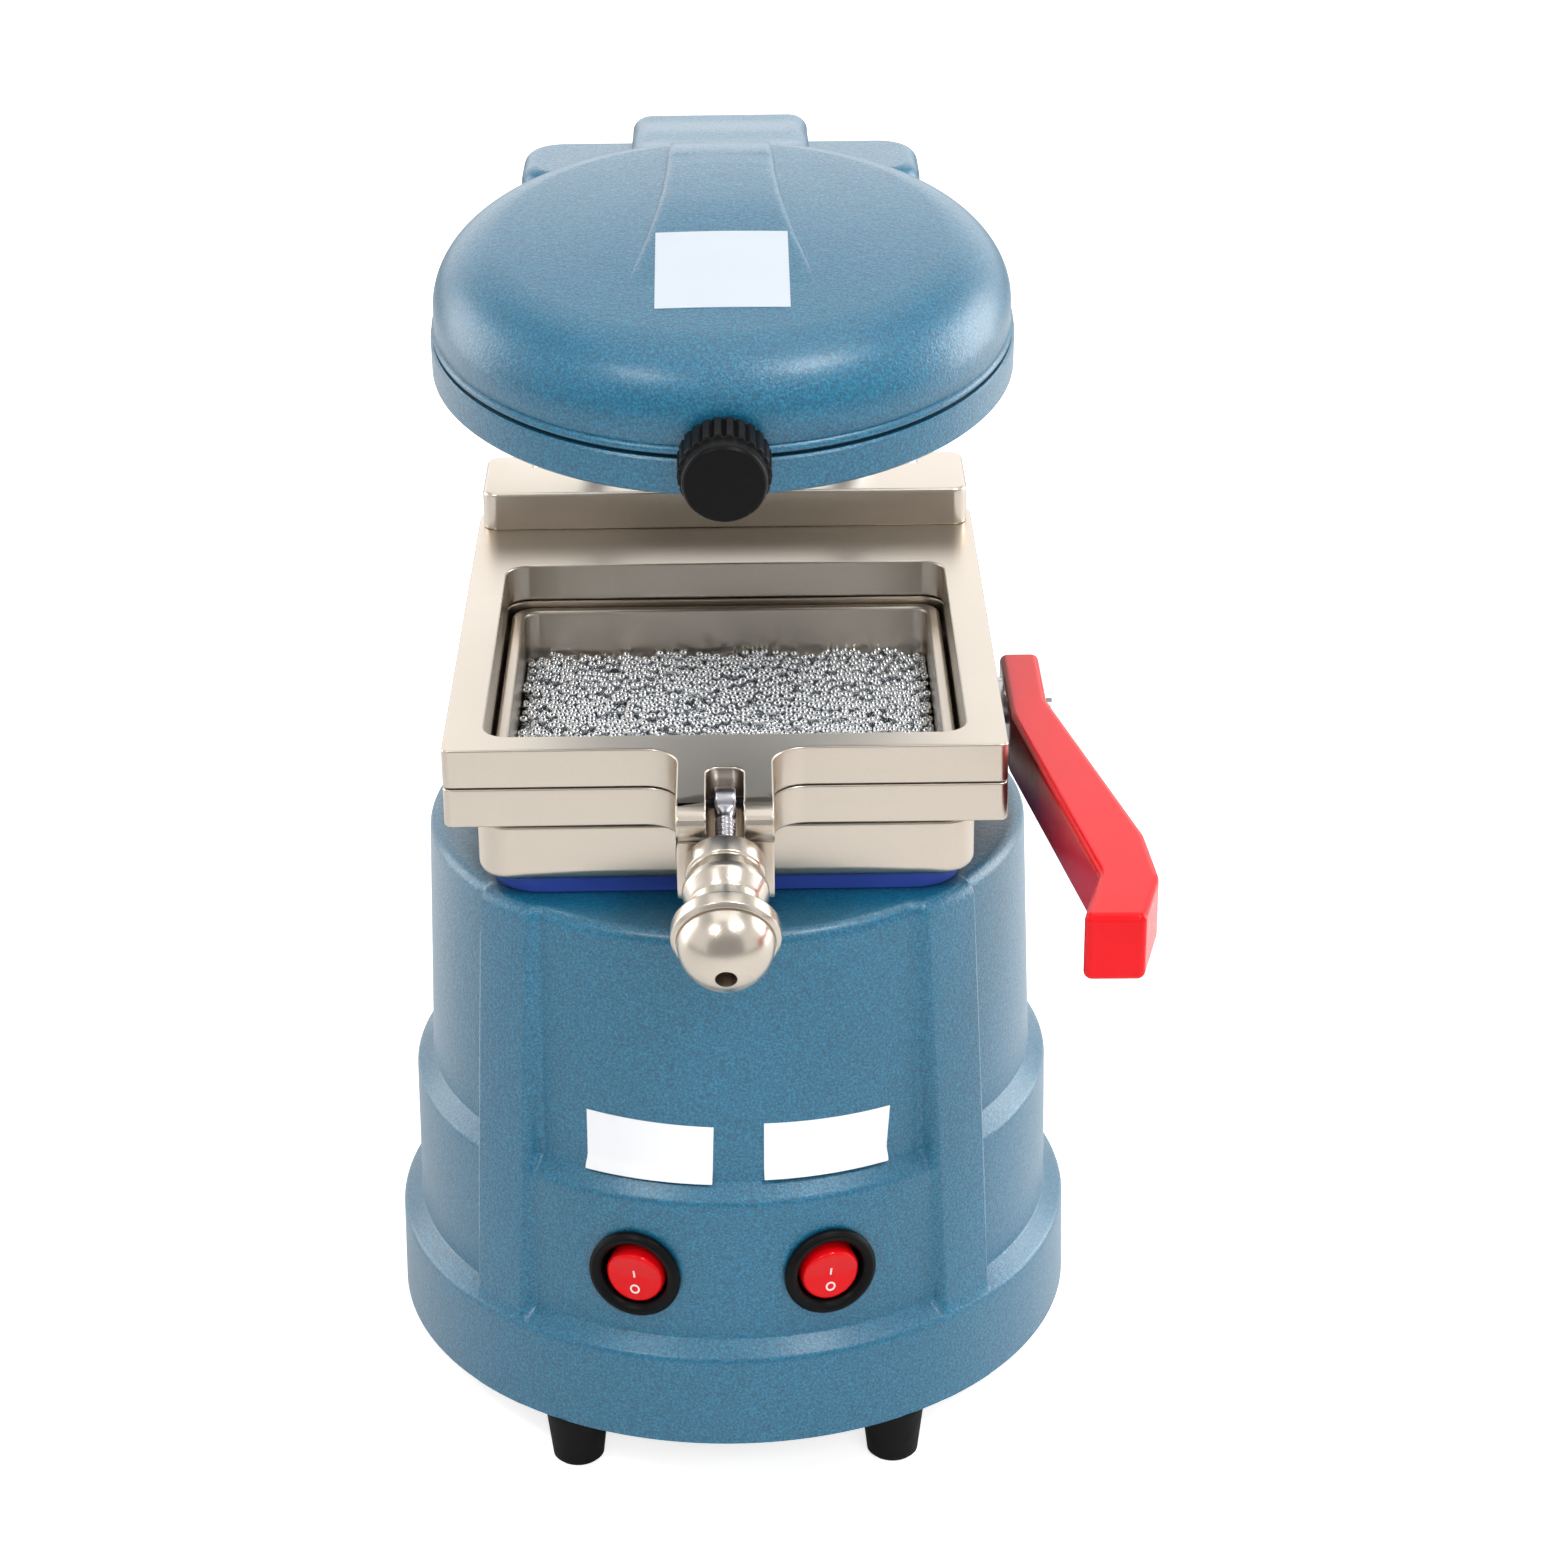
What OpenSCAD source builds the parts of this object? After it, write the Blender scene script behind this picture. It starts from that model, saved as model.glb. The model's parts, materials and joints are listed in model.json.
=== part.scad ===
// Dental vacuum former: round stepped base with a suction chamber full of steel balls,
// a two-part sheet frame that slides on two guide posts, and a heater head that swings
// over it. Millimetres, +Z up. The origin is on the floor, on the axis of the round base.

/* [Base] */
// Outside diameter of the base at its bottom flange
base_d = 177.2; // [174:0.2:184]
// Height of the rubber feet
foot_h = 15; // [12:0.5:18]
// Height of the base housing from its rim to its deck
base_h = 137; // [132:1:146]
// Wall thickness of the base housing
shell_t = 3; // [2.4:0.1:3.6]
// Height of the bottom flange
flange_h = 24.7; // [21:0.1:29]
// Height of the middle step above the rim
step_h = 67; // [62:1:72]

/* [Sheet frame] */
// Width of the frames, for a sheet of 127 mm
frame_w = 136; // [132:1:142]
// Thickness of each frame
frame_t = 10; // [8:0.5:11]
// Width of the opening in the frames
open_w = 116.8; // [114:0.2:118]
// Depth of the opening in the frames, front to back
open_d = 111.3; // [108:0.1:113]
// Width of the slot that takes the swing bolt
slot_w = 8.8; // [8.4:0.2:9.6]

/* [Guides] */
// Diameter of the guide posts
post_d = 12; // [10:0.5:13]
// Distance between the guide posts
post_gap = 72; // [68:1:76]
// How far the frame rises
lift = 58; // [40:1:58]

/* [Heater] */
// Diameter of the heater rim
heater_d = 142; // [136:0.2:146]
// How far the heater leans forward, in degrees
heater_tilt = 8; // [5:0.5:9]
// Height of the heater housing above the lower edge of its rim
heater_h = 36; // [32:0.5:38]

/* [Clearances] */
// Gap between pieces that move past each other
gap = 0.3; // [0.25:0.05:0.4]
// Radial running clearance of shafts and bushings
run = 0.05; // [0.03:0.01:0.08]

/* [Hidden] */
$fn = 64;
eps = 0.01;

blue = [0.24, 0.46, 0.59];
nickel = [0.78, 0.75, 0.69];
steel = [0.80, 0.81, 0.83];
black = [0.13, 0.13, 0.14];
red = [0.93, 0.15, 0.17];

// Base
rim_z = foot_h;
deck_z = rim_z + base_h;
flange_r = base_d / 2;
middle_r = flange_r - 5.1;
upper_r = middle_r - 5;
deck_r = upper_r - 2.2;
taper = 0.6;
flange_rise = 3;
step_rise = 2;
edge_round = 1.5;
deck_round = 3.5;
flange_z = rim_z + flange_h;
step_z = rim_z + step_h;
rear_w = 112;
rear_y = 158;
rear_front_y = 30;
plate_t = 2.5;
duct_y = 5;
switch_angle = 16.8;
switch_z = rim_z + 45.2;
pad_d = 25;
bezel_d = 23.6;
bezel_t = 2.4;
cutout_d = 20;
rocker_d = 15;
rocker_bore = rocker_d + 2.2;
rocker_pin_l = cutout_d - 1.8;
rocker_tilt = 10;
foot_ring = flange_r - 7.3;
foot_angle = 29.7;
foot_x = foot_ring * sin(foot_angle);
foot_front_y = -foot_ring * cos(foot_angle);
foot_rear_y = rear_y - 18;

// Chamber
gasket_h = 4;
chamber_edge = 2.1;
chamber_w = open_w + 2 * chamber_edge;
chamber_front = -55;
chamber_back = 65;
chamber_z = deck_z + gasket_h;
shoulder_z = chamber_z + 15.1;
tray_wall = 3.4;
tray_clear = 1.1;
open_front = -47.5;
open_back = open_front + open_d;
tray_front = open_front + tray_clear;
tray_back = open_back - tray_clear;
tray_w = open_w - 2 * tray_clear;
seal_h = 2.2;
seal_proud = 0.2;
floor_t = 2;
sieve_rise = 6;
sieve_t = 1;
ball_fill = 3.4;
screw_inset = 11.9;

// Frames
lower_z = shoulder_z + seal_proud + gap;
parting_z = lower_z + frame_t;
upper_z = parting_z + gap;
top_z = upper_z + frame_t;
tray_z = parting_z - 1.3;
frame_front = -55.7;
frame_corner = 2;
lug_w = 22.9;
lug_front = -89.8;
lug_fillet = 8;
slot_back = -66.6;
upper_back = 103.5;
carriage_back = 148;
bar_front = 90.4;
bar_back = 120.8;
bar_h = 10.6;
bar_w = 133;
hinge_y = 110.5;
hinge_z = top_z + 4.9;
hinge_d = 6;
ear_x = 50;
ear_w = 7;
bushing_d = post_d + 6;
bushing_drop = 10;

// Swing bolt and its knob, along an axis that points forward and down
clamp_y = -71;
clamp_z = upper_z + 2.75;
clamp_pin_d = 2.6;
eye_d = 7.8;
eye_w = 5.2;
bolt_d = 5;
bolt_dip = 20.5;
collar_reach = 19.4;
collar_r = 9;
lower_lug_front = clamp_y - cos(bolt_dip) * collar_reach + sin(bolt_dip) * collar_r + gap;

// Guides and top block
post_y = 134;
post_r = post_d / 2;
block_z = top_z + bar_h + lift + 6;
block_h = 18;
block_top = block_z + block_h;
block_w = 109;
block_d = 36;
block_round = 11;
washer_h = 1;

// Heater
heater_r = heater_d / 2;
heater_y = 5;
heater_z = block_top - 15.3;
hub_z = block_top + washer_h + 0.1;
hub_top = hub_z + 8;
hub_w = 48;
hub_back = 148;
rest_swing = 0.3;
stud_d = 12;
nut_h = 5;
dome_r = heater_r - 1;
dome_wall = 2.5;
rim_h = 9.3;
ridge_front = -34;
ridge_rise = 1.8;
waist = 13;
knob_h = 11.5;
element_h = 11.5;
reflector_h = 17;
stud_depth = 6.5;
knob_d = 21.5;
knob_stud_d = 4;

// Handle, bolted to the right side of the lower frame
handle_h = 16.5;
handle_z = lower_z + frame_t / 2 - handle_h / 2;
handle_x = frame_w / 2 + 2.6;
handle_t = 10;
handle_bolt_y = 5;
handle_bolt_z = handle_z + handle_h / 2;

// Points of a closed outline, [x, y, r] each, with its corners rounded to radius r
function unit(v) = v / norm(v);
function corner(a, b, c, r, n = 6) =
    let (u = unit([a[0] - b[0], a[1] - b[1]]), v = unit([c[0] - b[0], c[1] - b[1]]),
        half = acos(max(-1, min(1, u * v))) / 2,
        centre = [b[0], b[1]] + unit(u + v) * r / sin(half),
        from = [b[0], b[1]] + u * r / tan(half) - centre,
        turn = (u[0] * v[1] - u[1] * v[0]) > 0 ? -1 : 1,
        sweep = turn * (180 - 2 * half))
    [for (i = [0:n]) let (t = sweep * i / n)
        centre + [from[0] * cos(t) - from[1] * sin(t), from[0] * sin(t) + from[1] * cos(t)]];
function rounded(p) =
    [for (i = [0:len(p) - 1])
        let (a = p[(i + len(p) - 1) % len(p)], b = p[i], c = p[(i + 1) % len(p)])
        each (b[2] > 0 ? corner(a, b, c, b[2]) : [[b[0], b[1]]])];
function box_points(x0, y0, x1, y1, r) = [[x0, y0, r], [x1, y0, r], [x1, y1, r], [x0, y1, r]];
function arc(cx, cy, r, a0, a1, n = 6) =
    [for (i = [0:n]) let (t = a0 + (a1 - a0) * i / n) [cx + r * cos(t), cy + r * sin(t)]];

// A block with rounded vertical corners between two corners in plan
module slab(x0, y0, x1, y1, r, h) {
    linear_extrude(h) polygon(rounded(box_points(x0, y0, x1, y1, r)));
}

// Outline in Y and Z extruded along X, centred on X = 0
module side_slab(points, w) {
    translate([-w / 2, 0, 0]) rotate([90, 0, 90]) linear_extrude(w) polygon(points);
}

// A cylinder along X through the point y, z
module cross_pin(y, z, d, l, x = 0) {
    translate([x - l / 2, y, z]) rotate([0, 90, 0]) cylinder(d = d, h = l);
}

// Base housing

module base_outside() {
    rotate_extrude($fn = 128) polygon(concat(
        [[0, rim_z], [flange_r + 0.4, rim_z]],
        arc(flange_r - edge_round, flange_z - edge_round, edge_round, 0, 60),
        [[middle_r, flange_z + flange_rise]],
        arc(middle_r - taper - edge_round, step_z - edge_round, edge_round, 0, 65),
        [[upper_r, step_z + step_rise], [deck_r, deck_z - deck_round]],
        arc(deck_r - deck_round, deck_z - deck_round, deck_round, 0, 90),
        [[0, deck_z]]));
}

module base_inside() {
    inner_r = middle_r - taper - shell_t;
    rotate_extrude($fn = 96) polygon([[0, rim_z - 1], [flange_r - shell_t, rim_z - 1],
        [flange_r - shell_t, flange_z - shell_t], [inner_r, flange_z - 1],
        [inner_r, step_z - shell_t], [upper_r - shell_t, step_z - 1],
        [deck_r - shell_t, deck_z - 7],
        [deck_r - shell_t - 4, deck_z - shell_t], [0, deck_z - shell_t]]);
}

// Raised rib that runs straight down over both steps, narrower at its foot
module pilaster(side) {
    foot_r = flange_r - 1;
    head_r = deck_r + 2.2;
    intersection() {
        rotate_extrude($fn = 128) polygon(concat(
            [[50, flange_z - 6], [foot_r, flange_z - 6]],
            arc(head_r - 4, deck_z - 5, 4, 5, 88),
            [[50, deck_z - 1]]));
        rotate([90, 0, 0]) linear_extrude(flange_r) polygon([
            [side * head_r * sin(37.3), deck_z + 1], [side * head_r * sin(49.5), deck_z + 1],
            [side * foot_r * sin(47), flange_z - 7], [side * foot_r * sin(37.3), flange_z - 7]]);
    }
}

module rear_body(inset, z0, z1) {
    translate([0, 0, z0]) slab(-rear_w / 2 + inset, rear_front_y, rear_w / 2 - inset,
        rear_y - inset, 14 - inset, z1 - z0);
}

module at_switch(side) {
    rotate([0, 0, side * switch_angle]) translate([0, 0.1 - middle_r, switch_z])
        rotate([90, 0, 0]) children();
}

module at_posts() {
    for (side = [-1, 1]) translate([side * post_gap / 2, post_y, 0]) children();
}

module base_housing() {
    color(blue) difference() {
        union() {
            difference() {
                union() {
                    base_outside();
                    rear_body(0, rim_z, deck_z);
                    pilaster(-1);
                    pilaster(1);
                    for (side = [-1, 1]) at_switch(side)
                        translate([0, 0, -6]) cylinder(d = pad_d, h = 6);
                }
                base_inside();
                rear_body(shell_t, rim_z - 1, deck_z - shell_t);
            }
            at_posts() translate([0, 0, deck_z - 45]) cylinder(d = post_d + 10, h = 45 - eps);
            for (p = plate_screw_points()) translate([p[0], p[1], rim_z + plate_t])
                cylinder(d = 9, h = 10);
        }
        at_posts() translate([0, 0, deck_z - 40]) cylinder(d = post_d, h = 60);
        translate([0, duct_y, deck_z - 10]) cylinder(d = 34, h = 20);
        for (p = chamber_screw_points()) translate([p[0], p[1], deck_z - 10])
            cylinder(d = 4, h = 20);
        for (p = plate_screw_points()) translate([p[0], p[1], rim_z])
            cylinder(d = 3, h = plate_t + 9);
        for (side = [-1, 1]) at_switch(side)
            translate([0, 0, -20]) cylinder(d = cutout_d, h = 40);
        translate([-30, rear_y - 10, rim_z + 26]) cube([27.4, 20, 20]);
        translate([20, rear_y + 5, rim_z + 36]) rotate([90, 0, 0]) cylinder(d = 12, h = 20);
    }
}

// Bottom plate, feet and the screws that hold them

function plate_screw_points() = let (r = flange_r - shell_t - 4, x = rear_w / 2 - shell_t - 4)
    [for (a = [-90, 10, 170]) [r * cos(a), r * sin(a)],
    [0, rear_y - shell_t - 4], [-x, 100], [x, 100]];
function foot_points() = [for (side = [-1, 1]) each
    [[side * foot_x, foot_front_y], [side * foot_x, foot_rear_y]]];
function chamber_screw_points() = let (x = tray_w / 2 - tray_wall - screw_inset)
    [for (side = [-1, 1], y = [-28, 46]) [side * x, y]];

module base_plate() {
    color(black) translate([0, 0, rim_z]) difference() {
        union() {
            cylinder(r = flange_r - shell_t, h = plate_t, $fn = 96);
            slab(-rear_w / 2 + shell_t, rear_front_y, rear_w / 2 - shell_t, rear_y - shell_t,
                14 - shell_t, plate_t);
        }
        for (x = [-36:12:36]) translate([x - 2, -24, -1]) cube([4, 48, plate_t + 2]);
        for (p = plate_screw_points()) translate([p[0], p[1], -1])
            cylinder(d = 3, h = plate_t + 2);
        for (p = foot_points()) translate([p[0], p[1], -1]) cylinder(d = 4, h = plate_t + 2);
    }
}

module pan_screw(d, head_d, head_h, l) {
    translate([0, 0, -head_h]) cylinder(d = head_d, h = head_h);
    cylinder(d = d, h = l);
}

module base_plate_screws() {
    color(steel) for (p = plate_screw_points()) translate([p[0], p[1], rim_z])
        pan_screw(3, 6, 1.8, plate_t + 7);
}

module feet() {
    color(black) for (p = foot_points()) translate([p[0], p[1], 0]) rotate_extrude()
        polygon(concat([[2, 9], [4, 9], [4, 0], [5.6, 0]], [[6.5, 0.9], [8, foot_h - 1]],
            [[8, foot_h], [2, foot_h]]));
}

module foot_screws() {
    color(steel) for (p = foot_points()) translate([p[0], p[1], 9])
        pan_screw(4, 7, 2.4, foot_h - 9 + plate_t + 3);
}

// Suction chamber

module chamber_gasket() {
    color([0.18, 0.28, 0.62]) translate([0, 0, deck_z]) difference() {
        slab(3 - chamber_w / 2, chamber_front + 3, chamber_w / 2 - 3, chamber_back - 3, 12,
            gasket_h);
        translate([0, duct_y, -1]) cylinder(d = 34, h = gasket_h + 2);
        for (p = chamber_screw_points()) translate([p[0], p[1], -1])
            cylinder(d = 4, h = gasket_h + 2);
    }
}

module vacuum_chamber() {
    w = chamber_w / 2;
    t = tray_w / 2;
    foot = 3.5;
    color(nickel) difference() {
        union() {
            translate([0, 0, chamber_z + foot])
                slab(-w, chamber_front, w, chamber_back, 8, shoulder_z - chamber_z - foot);
            for (i = [0:3]) let (a = 90 * i / 4, s = foot * (1 - cos(90 - a)))
                translate([0, 0, chamber_z + foot * (1 - cos(a))])
                    slab(-w + s, chamber_front + s, w - s, chamber_back - s, 8,
                        foot * (cos(a) - cos(a + 22.5)) + eps);
            translate([0, 0, shoulder_z - eps])
                slab(-t, tray_front, t, tray_back, 6, tray_z - shoulder_z + eps);
        }
        seal_ring();
        translate([0, 0, chamber_z + floor_t]) slab(-t + tray_wall, tray_front + tray_wall,
            t - tray_wall, tray_back - tray_wall, 4, 40);
        translate([0, duct_y, chamber_z - 1]) cylinder(d = 30, h = 10);
        for (p = chamber_screw_points()) translate([p[0], p[1], chamber_z - 1])
            cylinder(d = 4, h = 10);
    }
}

// Seal in its groove in the shoulder, round the tray and a little proud
module seal_ring() {
    t = tray_w / 2;
    translate([0, 0, shoulder_z + seal_proud - seal_h]) difference() {
        slab(1 - chamber_w / 2, chamber_front + 3, chamber_w / 2 - 1, chamber_back - 1, 7,
            seal_h);
        translate([0, 0, -1]) slab(-t, tray_front, t, tray_back, 6, seal_h + 2);
    }
}

// Sieve that holds the balls up over the suction hole, on a rim and four ribs
module perforated_plate() {
    t = tray_w / 2 - tray_wall - 0.4;
    y0 = tray_front + tray_wall + 0.4;
    y1 = tray_back - tray_wall - 0.4;
    z0 = chamber_z + floor_t + sieve_rise;
    color(steel) difference() {
        union() {
            translate([0, 0, z0]) slab(-t, y0, t, y1, 3.6, sieve_t);
            for (x = [-32, 30, -t + 4, t - 6]) translate([x, y0 + 6, z0 - sieve_rise])
                cube([2, y1 - y0 - 12, sieve_rise + eps]);
        }
        for (i = [-5:5], y = [-40:10:60]) if (y < y1 - 3 && y > y0 + 3)
            translate([i * (t - 3.5) / 5, y, z0 - 1]) cylinder(d = 1.6, h = 4, $fn = 24);
    }
}

// The loose balls as one bed, filled level
module steel_balls() {
    t = tray_w / 2 - tray_wall - 0.2;
    color(steel) translate([0, 0, chamber_z + floor_t + sieve_rise + sieve_t])
        slab(-t, tray_front + tray_wall + 0.2, t, tray_back - tray_wall - 0.2, 3.8, ball_fill);
}

module chamber_seal() { color(black) seal_ring(); }

module chamber_screws() {
    color(steel) for (p = chamber_screw_points())
        translate([p[0], p[1], chamber_z + floor_t]) rotate([180, 0, 0])
            pan_screw(4, 7, 1.4, floor_t + gasket_h + shell_t + 3);
}

// Suction motor with a one-stage impeller

motor_z = rim_z + plate_t + 6;
fan_z = motor_z + 46;
fan_h = 26;

module vacuum_motor() {
    color([0.6, 0.61, 0.62]) difference() {
        union() {
            translate([0, duct_y, motor_z]) cylinder(d = 82, h = 46);
            translate([0, duct_y, fan_z - eps]) cylinder(d = 116, h = fan_h);
            translate([0, duct_y, fan_z + fan_h - eps]) cylinder(d = 44, h = 5);
        }
        translate([0, duct_y, fan_z + 3]) cylinder(d = 110, h = fan_h - 6);
        translate([0, duct_y, fan_z + 10]) cylinder(d = 34, h = 40);
        translate([0, duct_y, motor_z + 8]) cylinder(d = 8 + 2 * run, h = 60);
        translate([0, duct_y, fan_z + fan_h / 2]) for (i = [0:5]) rotate([0, 0, i * 60])
            translate([40, 0, 0]) rotate([0, 90, 0]) cylinder(d = 10, h = 30);
    }
}

module motor_ring() {
    color(black) translate([0, duct_y, rim_z + plate_t]) difference() {
        cylinder(d = 96, h = 14);
        translate([0, 0, 6]) cylinder(d = 82, h = 20);
        translate([0, 0, -1]) cylinder(d = 60, h = 20);
    }
}

module air_duct() {
    z0 = fan_z + fan_h;
    color(black) translate([0, duct_y, z0]) difference() {
        cylinder(d = 52, h = deck_z - shell_t - z0);
        translate([0, 0, -1]) cylinder(d = 44, h = 6);
        translate([0, 0, 2]) cylinder(d = 34, h = 90);
    }
}

module motor_impeller() {
    color(steel) translate([0, duct_y, 0]) {
        translate([0, 0, motor_z + 10]) cylinder(d = 8, h = 54);
        translate([0, 0, fan_z + 6]) cylinder(d = 98, h = 1.5);
        translate([0, 0, fan_z + 7]) for (i = [0:11]) rotate([0, 0, i * 30])
            translate([12, -0.75, 0]) cube([36, 1.5, 8]);
        translate([0, 0, fan_z + 6]) cylinder(d = 26, h = 9);
    }
}

// Round rocker switches, each in its own bezel; local Z points out of the base

module switch_body() {
    difference() {
        union() {
            rotate_extrude() polygon(concat([[rocker_bore / 2, 0], [bezel_d / 2, 0]],
                arc(bezel_d / 2 - 1.6, bezel_t - 1.6, 1.6, 0, 90), [[rocker_bore / 2, 1.6]]));
            translate([0, 0, -15]) cylinder(d = cutout_d, h = 15 + eps);
            for (y = [-6, 0, 6]) translate([-2.4, y - 0.4, -24]) cube([4.8, 0.8, 10]);
        }
        translate([0, 0, -9]) cylinder(d = rocker_bore, h = 20);
        cross_pin(0, -3, 3 + 2 * run, rocker_pin_l + 0.4);
    }
}

module rocker_solid() {
    translate([0, 0, -3]) rotate([rocker_tilt, 0, 0]) intersection() {
        translate([0, 0, -4]) cylinder(d = rocker_d, h = 20);
        translate([-20, 0, 0]) rotate([90, 0, 90]) linear_extrude(40)
            polygon([[-9, -2.4], [9, -2.4], [9, 5.2], [0, 3.9], [-9, 5.2]]);
    }
    cross_pin(0, -3, 3, rocker_pin_l);
}

module left_switch_body() { color(black) at_switch(-1) switch_body(); }
module right_switch_body() { color(black) at_switch(1) switch_body(); }
module left_rocker() { color(red) at_switch(-1) rocker_solid(); }
module right_rocker() { color(red) at_switch(1) rocker_solid(); }

// Mains inlet and fuse in the back wall

module power_inlet() {
    color(black) translate([-30, 0, rim_z + 26]) difference() {
        union() {
            translate([-1.5, rear_y, -1.5]) cube([30.4, 2.5, 23]);
            translate([0, rear_y - 18, 0]) cube([27.4, 18 + eps, 20]);
        }
        translate([2, rear_y - 14, 2]) cube([23.4, 20, 16]);
    }
    color(steel) for (x = [-7, 0, 7])
        translate([-30 + 13.7 + x - 1, rear_y - 15, rim_z + 26 + (x == 0 ? 12.5 : 8.5)])
            cube([2, 14, 3]);
}

module fuse_holder() {
    color(black) translate([20, rear_y, rim_z + 36]) rotate([-90, 0, 0]) difference() {
        union() {
            cylinder(d = 16, h = 2.5);
            translate([0, 0, -20]) cylinder(d = 12, h = 20 + eps);
        }
        translate([0, 0, -16]) cylinder(d = 9, h = 30);
    }
}

module fuse_cap() {
    color(black) translate([20, rear_y, rim_z + 36]) rotate([-90, 0, 0]) difference() {
        union() {
            translate([0, 0, 2.5]) cylinder(d = 13, h = 4);
            translate([0, 0, -12]) cylinder(d = 9, h = 15);
        }
        translate([-5, -0.6, 5]) cube([10, 1.2, 3]);
    }
}

// Guide posts and the block that ties their tops

module guide_posts() {
    color(steel) at_posts() translate([0, 0, deck_z - 40])
        cylinder(d = post_d, h = block_top - 5 - deck_z + 40);
}

module top_block() {
    color(blue) difference() {
        translate([0, 0, block_z]) slab(-block_w / 2, post_y - block_d / 2, block_w / 2,
            post_y + block_d / 2, block_round, block_h);
        at_posts() translate([0, 0, block_z - 1]) cylinder(d = post_d, h = block_h - 4);
        translate([0, post_y, block_z - 1]) cylinder(d = stud_d + 2 * run, h = 30);
        for (side = [-1, 1]) translate([side * post_gap / 2, post_y + 30, block_z + 8])
            rotate([90, 0, 0]) cylinder(d = 5, h = 30 - post_r);
    }
}

module post_set_screws() {
    color(steel) for (side = [-1, 1])
        translate([side * post_gap / 2, post_y + post_r, block_z + 8]) rotate([-90, 0, 0])
            difference() {
                cylinder(d = 5, h = 9);
                translate([0, 0, 6]) cylinder(d = 2.5, h = 4, $fn = 6);
            }
}

// Frames

module frame_plan(back) {
    w = frame_w / 2;
    l = lug_w / 2;
    f = lug_fillet;
    difference() {
        polygon(rounded([[-w, frame_front, frame_corner], [-l, frame_front, f],
            [-l, lug_front, 0], [l, lug_front, 0], [l, frame_front, f],
            [w, frame_front, frame_corner], [w, back, frame_corner], [-w, back, frame_corner]]));
        polygon(rounded(box_points(-open_w / 2, open_front, open_w / 2, open_back, 6)));
        translate([-slot_w / 2, lug_front - 1])
            square([slot_w, slot_back - lug_front + 1 - 3]);
        polygon(rounded(box_points(-slot_w / 2, lug_front, slot_w / 2, slot_back, 3)));
    }
}

// Carriage: the lower frame with the guide holes and the hinge ears
module lower_frame() {
    drop = 7;
    color(nickel) difference() {
        union() {
            translate([0, 0, lower_z]) linear_extrude(frame_t) frame_plan(carriage_back);
            difference() {
                side_slab(rounded([[lower_lug_front, parting_z, 0],
                    [lower_lug_front, lower_z - drop, 6],
                    [frame_front - 8, lower_z - drop, 6], [frame_front - 1, lower_z + 0.5, 0],
                    [frame_front - 1, parting_z, 0]]), lug_w);
                translate([-slot_w / 2, lug_front - 1, lower_z - 20])
                    cube([slot_w, slot_back - lug_front + 1, 40]);
            }
            at_posts() translate([0, 0, lower_z - bushing_drop])
                cylinder(d = bushing_d + 8, h = bushing_drop + eps);
            for (x = [-ear_x, ear_x]) translate([x, 0, 0])
                side_slab(concat([[hinge_y - 6, parting_z - 1], [hinge_y + 6, parting_z - 1]],
                    arc(hinge_y, hinge_z, 5.6, 0, 180, 10)), ear_w);
        }
        translate([-lug_w, lug_front - 1, lower_z - 1])
            cube([2 * lug_w, lower_lug_front - lug_front + 1, frame_t + 2]);
        at_posts() translate([0, 0, lower_z - bushing_drop - 1])
            cylinder(d = bushing_d, h = 60);
        cross_pin(hinge_y, hinge_z, hinge_d, frame_w);
        translate([open_w / 2 + 1.2, handle_bolt_y, handle_bolt_z]) rotate([0, 90, 0])
            cylinder(d = 6, h = 30);
    }
}

module guide_bushings() {
    color([0.72, 0.55, 0.32]) at_posts() translate([0, 0, lower_z - bushing_drop]) difference() {
        union() {
            cylinder(d = bushing_d, h = frame_t + bushing_drop);
            translate([0, 0, frame_t + bushing_drop - eps]) cylinder(d = bushing_d + 4, h = 2);
        }
        translate([0, 0, -1]) cylinder(d = post_d + 2 * run, h = 60);
    }
}

module hinge_pin() {
    color(steel) cross_pin(hinge_y, hinge_z, hinge_d, 2 * ear_x + 24);
}

module upper_frame() {
    r = 5;
    color(nickel) difference() {
        translate([0, 0, upper_z]) linear_extrude(frame_t) frame_plan(upper_back);
        side_slab(concat([[lug_front - 1, top_z + 1], [lug_front - 1, top_z - r]],
            arc(lug_front + r, top_z - r, r, 180, 90), [[lug_front + r, top_z + 1]]), 60);
        cross_pin(clamp_y, clamp_z, clamp_pin_d, 60);
        for (x = [-54, -20, 20, 54]) translate([x, 97, upper_z - 1]) {
            cylinder(d = 4, h = 30);
            cylinder(d = 7.4, h = 3.6);
        }
    }
}

module hinge_bar() {
    color(nickel) difference() {
        translate([0, 0, top_z]) slab(-bar_w / 2, bar_front, bar_w / 2, bar_back, 4, bar_h);
        for (x = [-ear_x, ear_x]) translate([x - ear_w / 2 - gap, hinge_y - 7.5, top_z - 1])
            cube([ear_w + 2 * gap, 30, bar_h + 2]);
        cross_pin(hinge_y, hinge_z, hinge_d + 2 * run, bar_w, 4);
        for (x = [-54, -20, 20, 54]) translate([x, 97, top_z - 1]) cylinder(d = 4, h = 8);
    }
}

module hinge_bar_screws() {
    color(steel) for (x = [-54, -20, 20, 54]) translate([x, 97, upper_z + 2.6])
        pan_screw(4, 7, 2.2, frame_t - 2.6 + 7);
}

// Clamp: eye bolt that swings in the slot, with a ball knob on its thread

module at_clamp() {
    translate([0, clamp_y, clamp_z]) rotate([90 + bolt_dip, 0, 0]) children();
}

module clamp_pin() {
    color(steel) cross_pin(clamp_y, clamp_z, clamp_pin_d, lug_w - 1);
}

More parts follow.
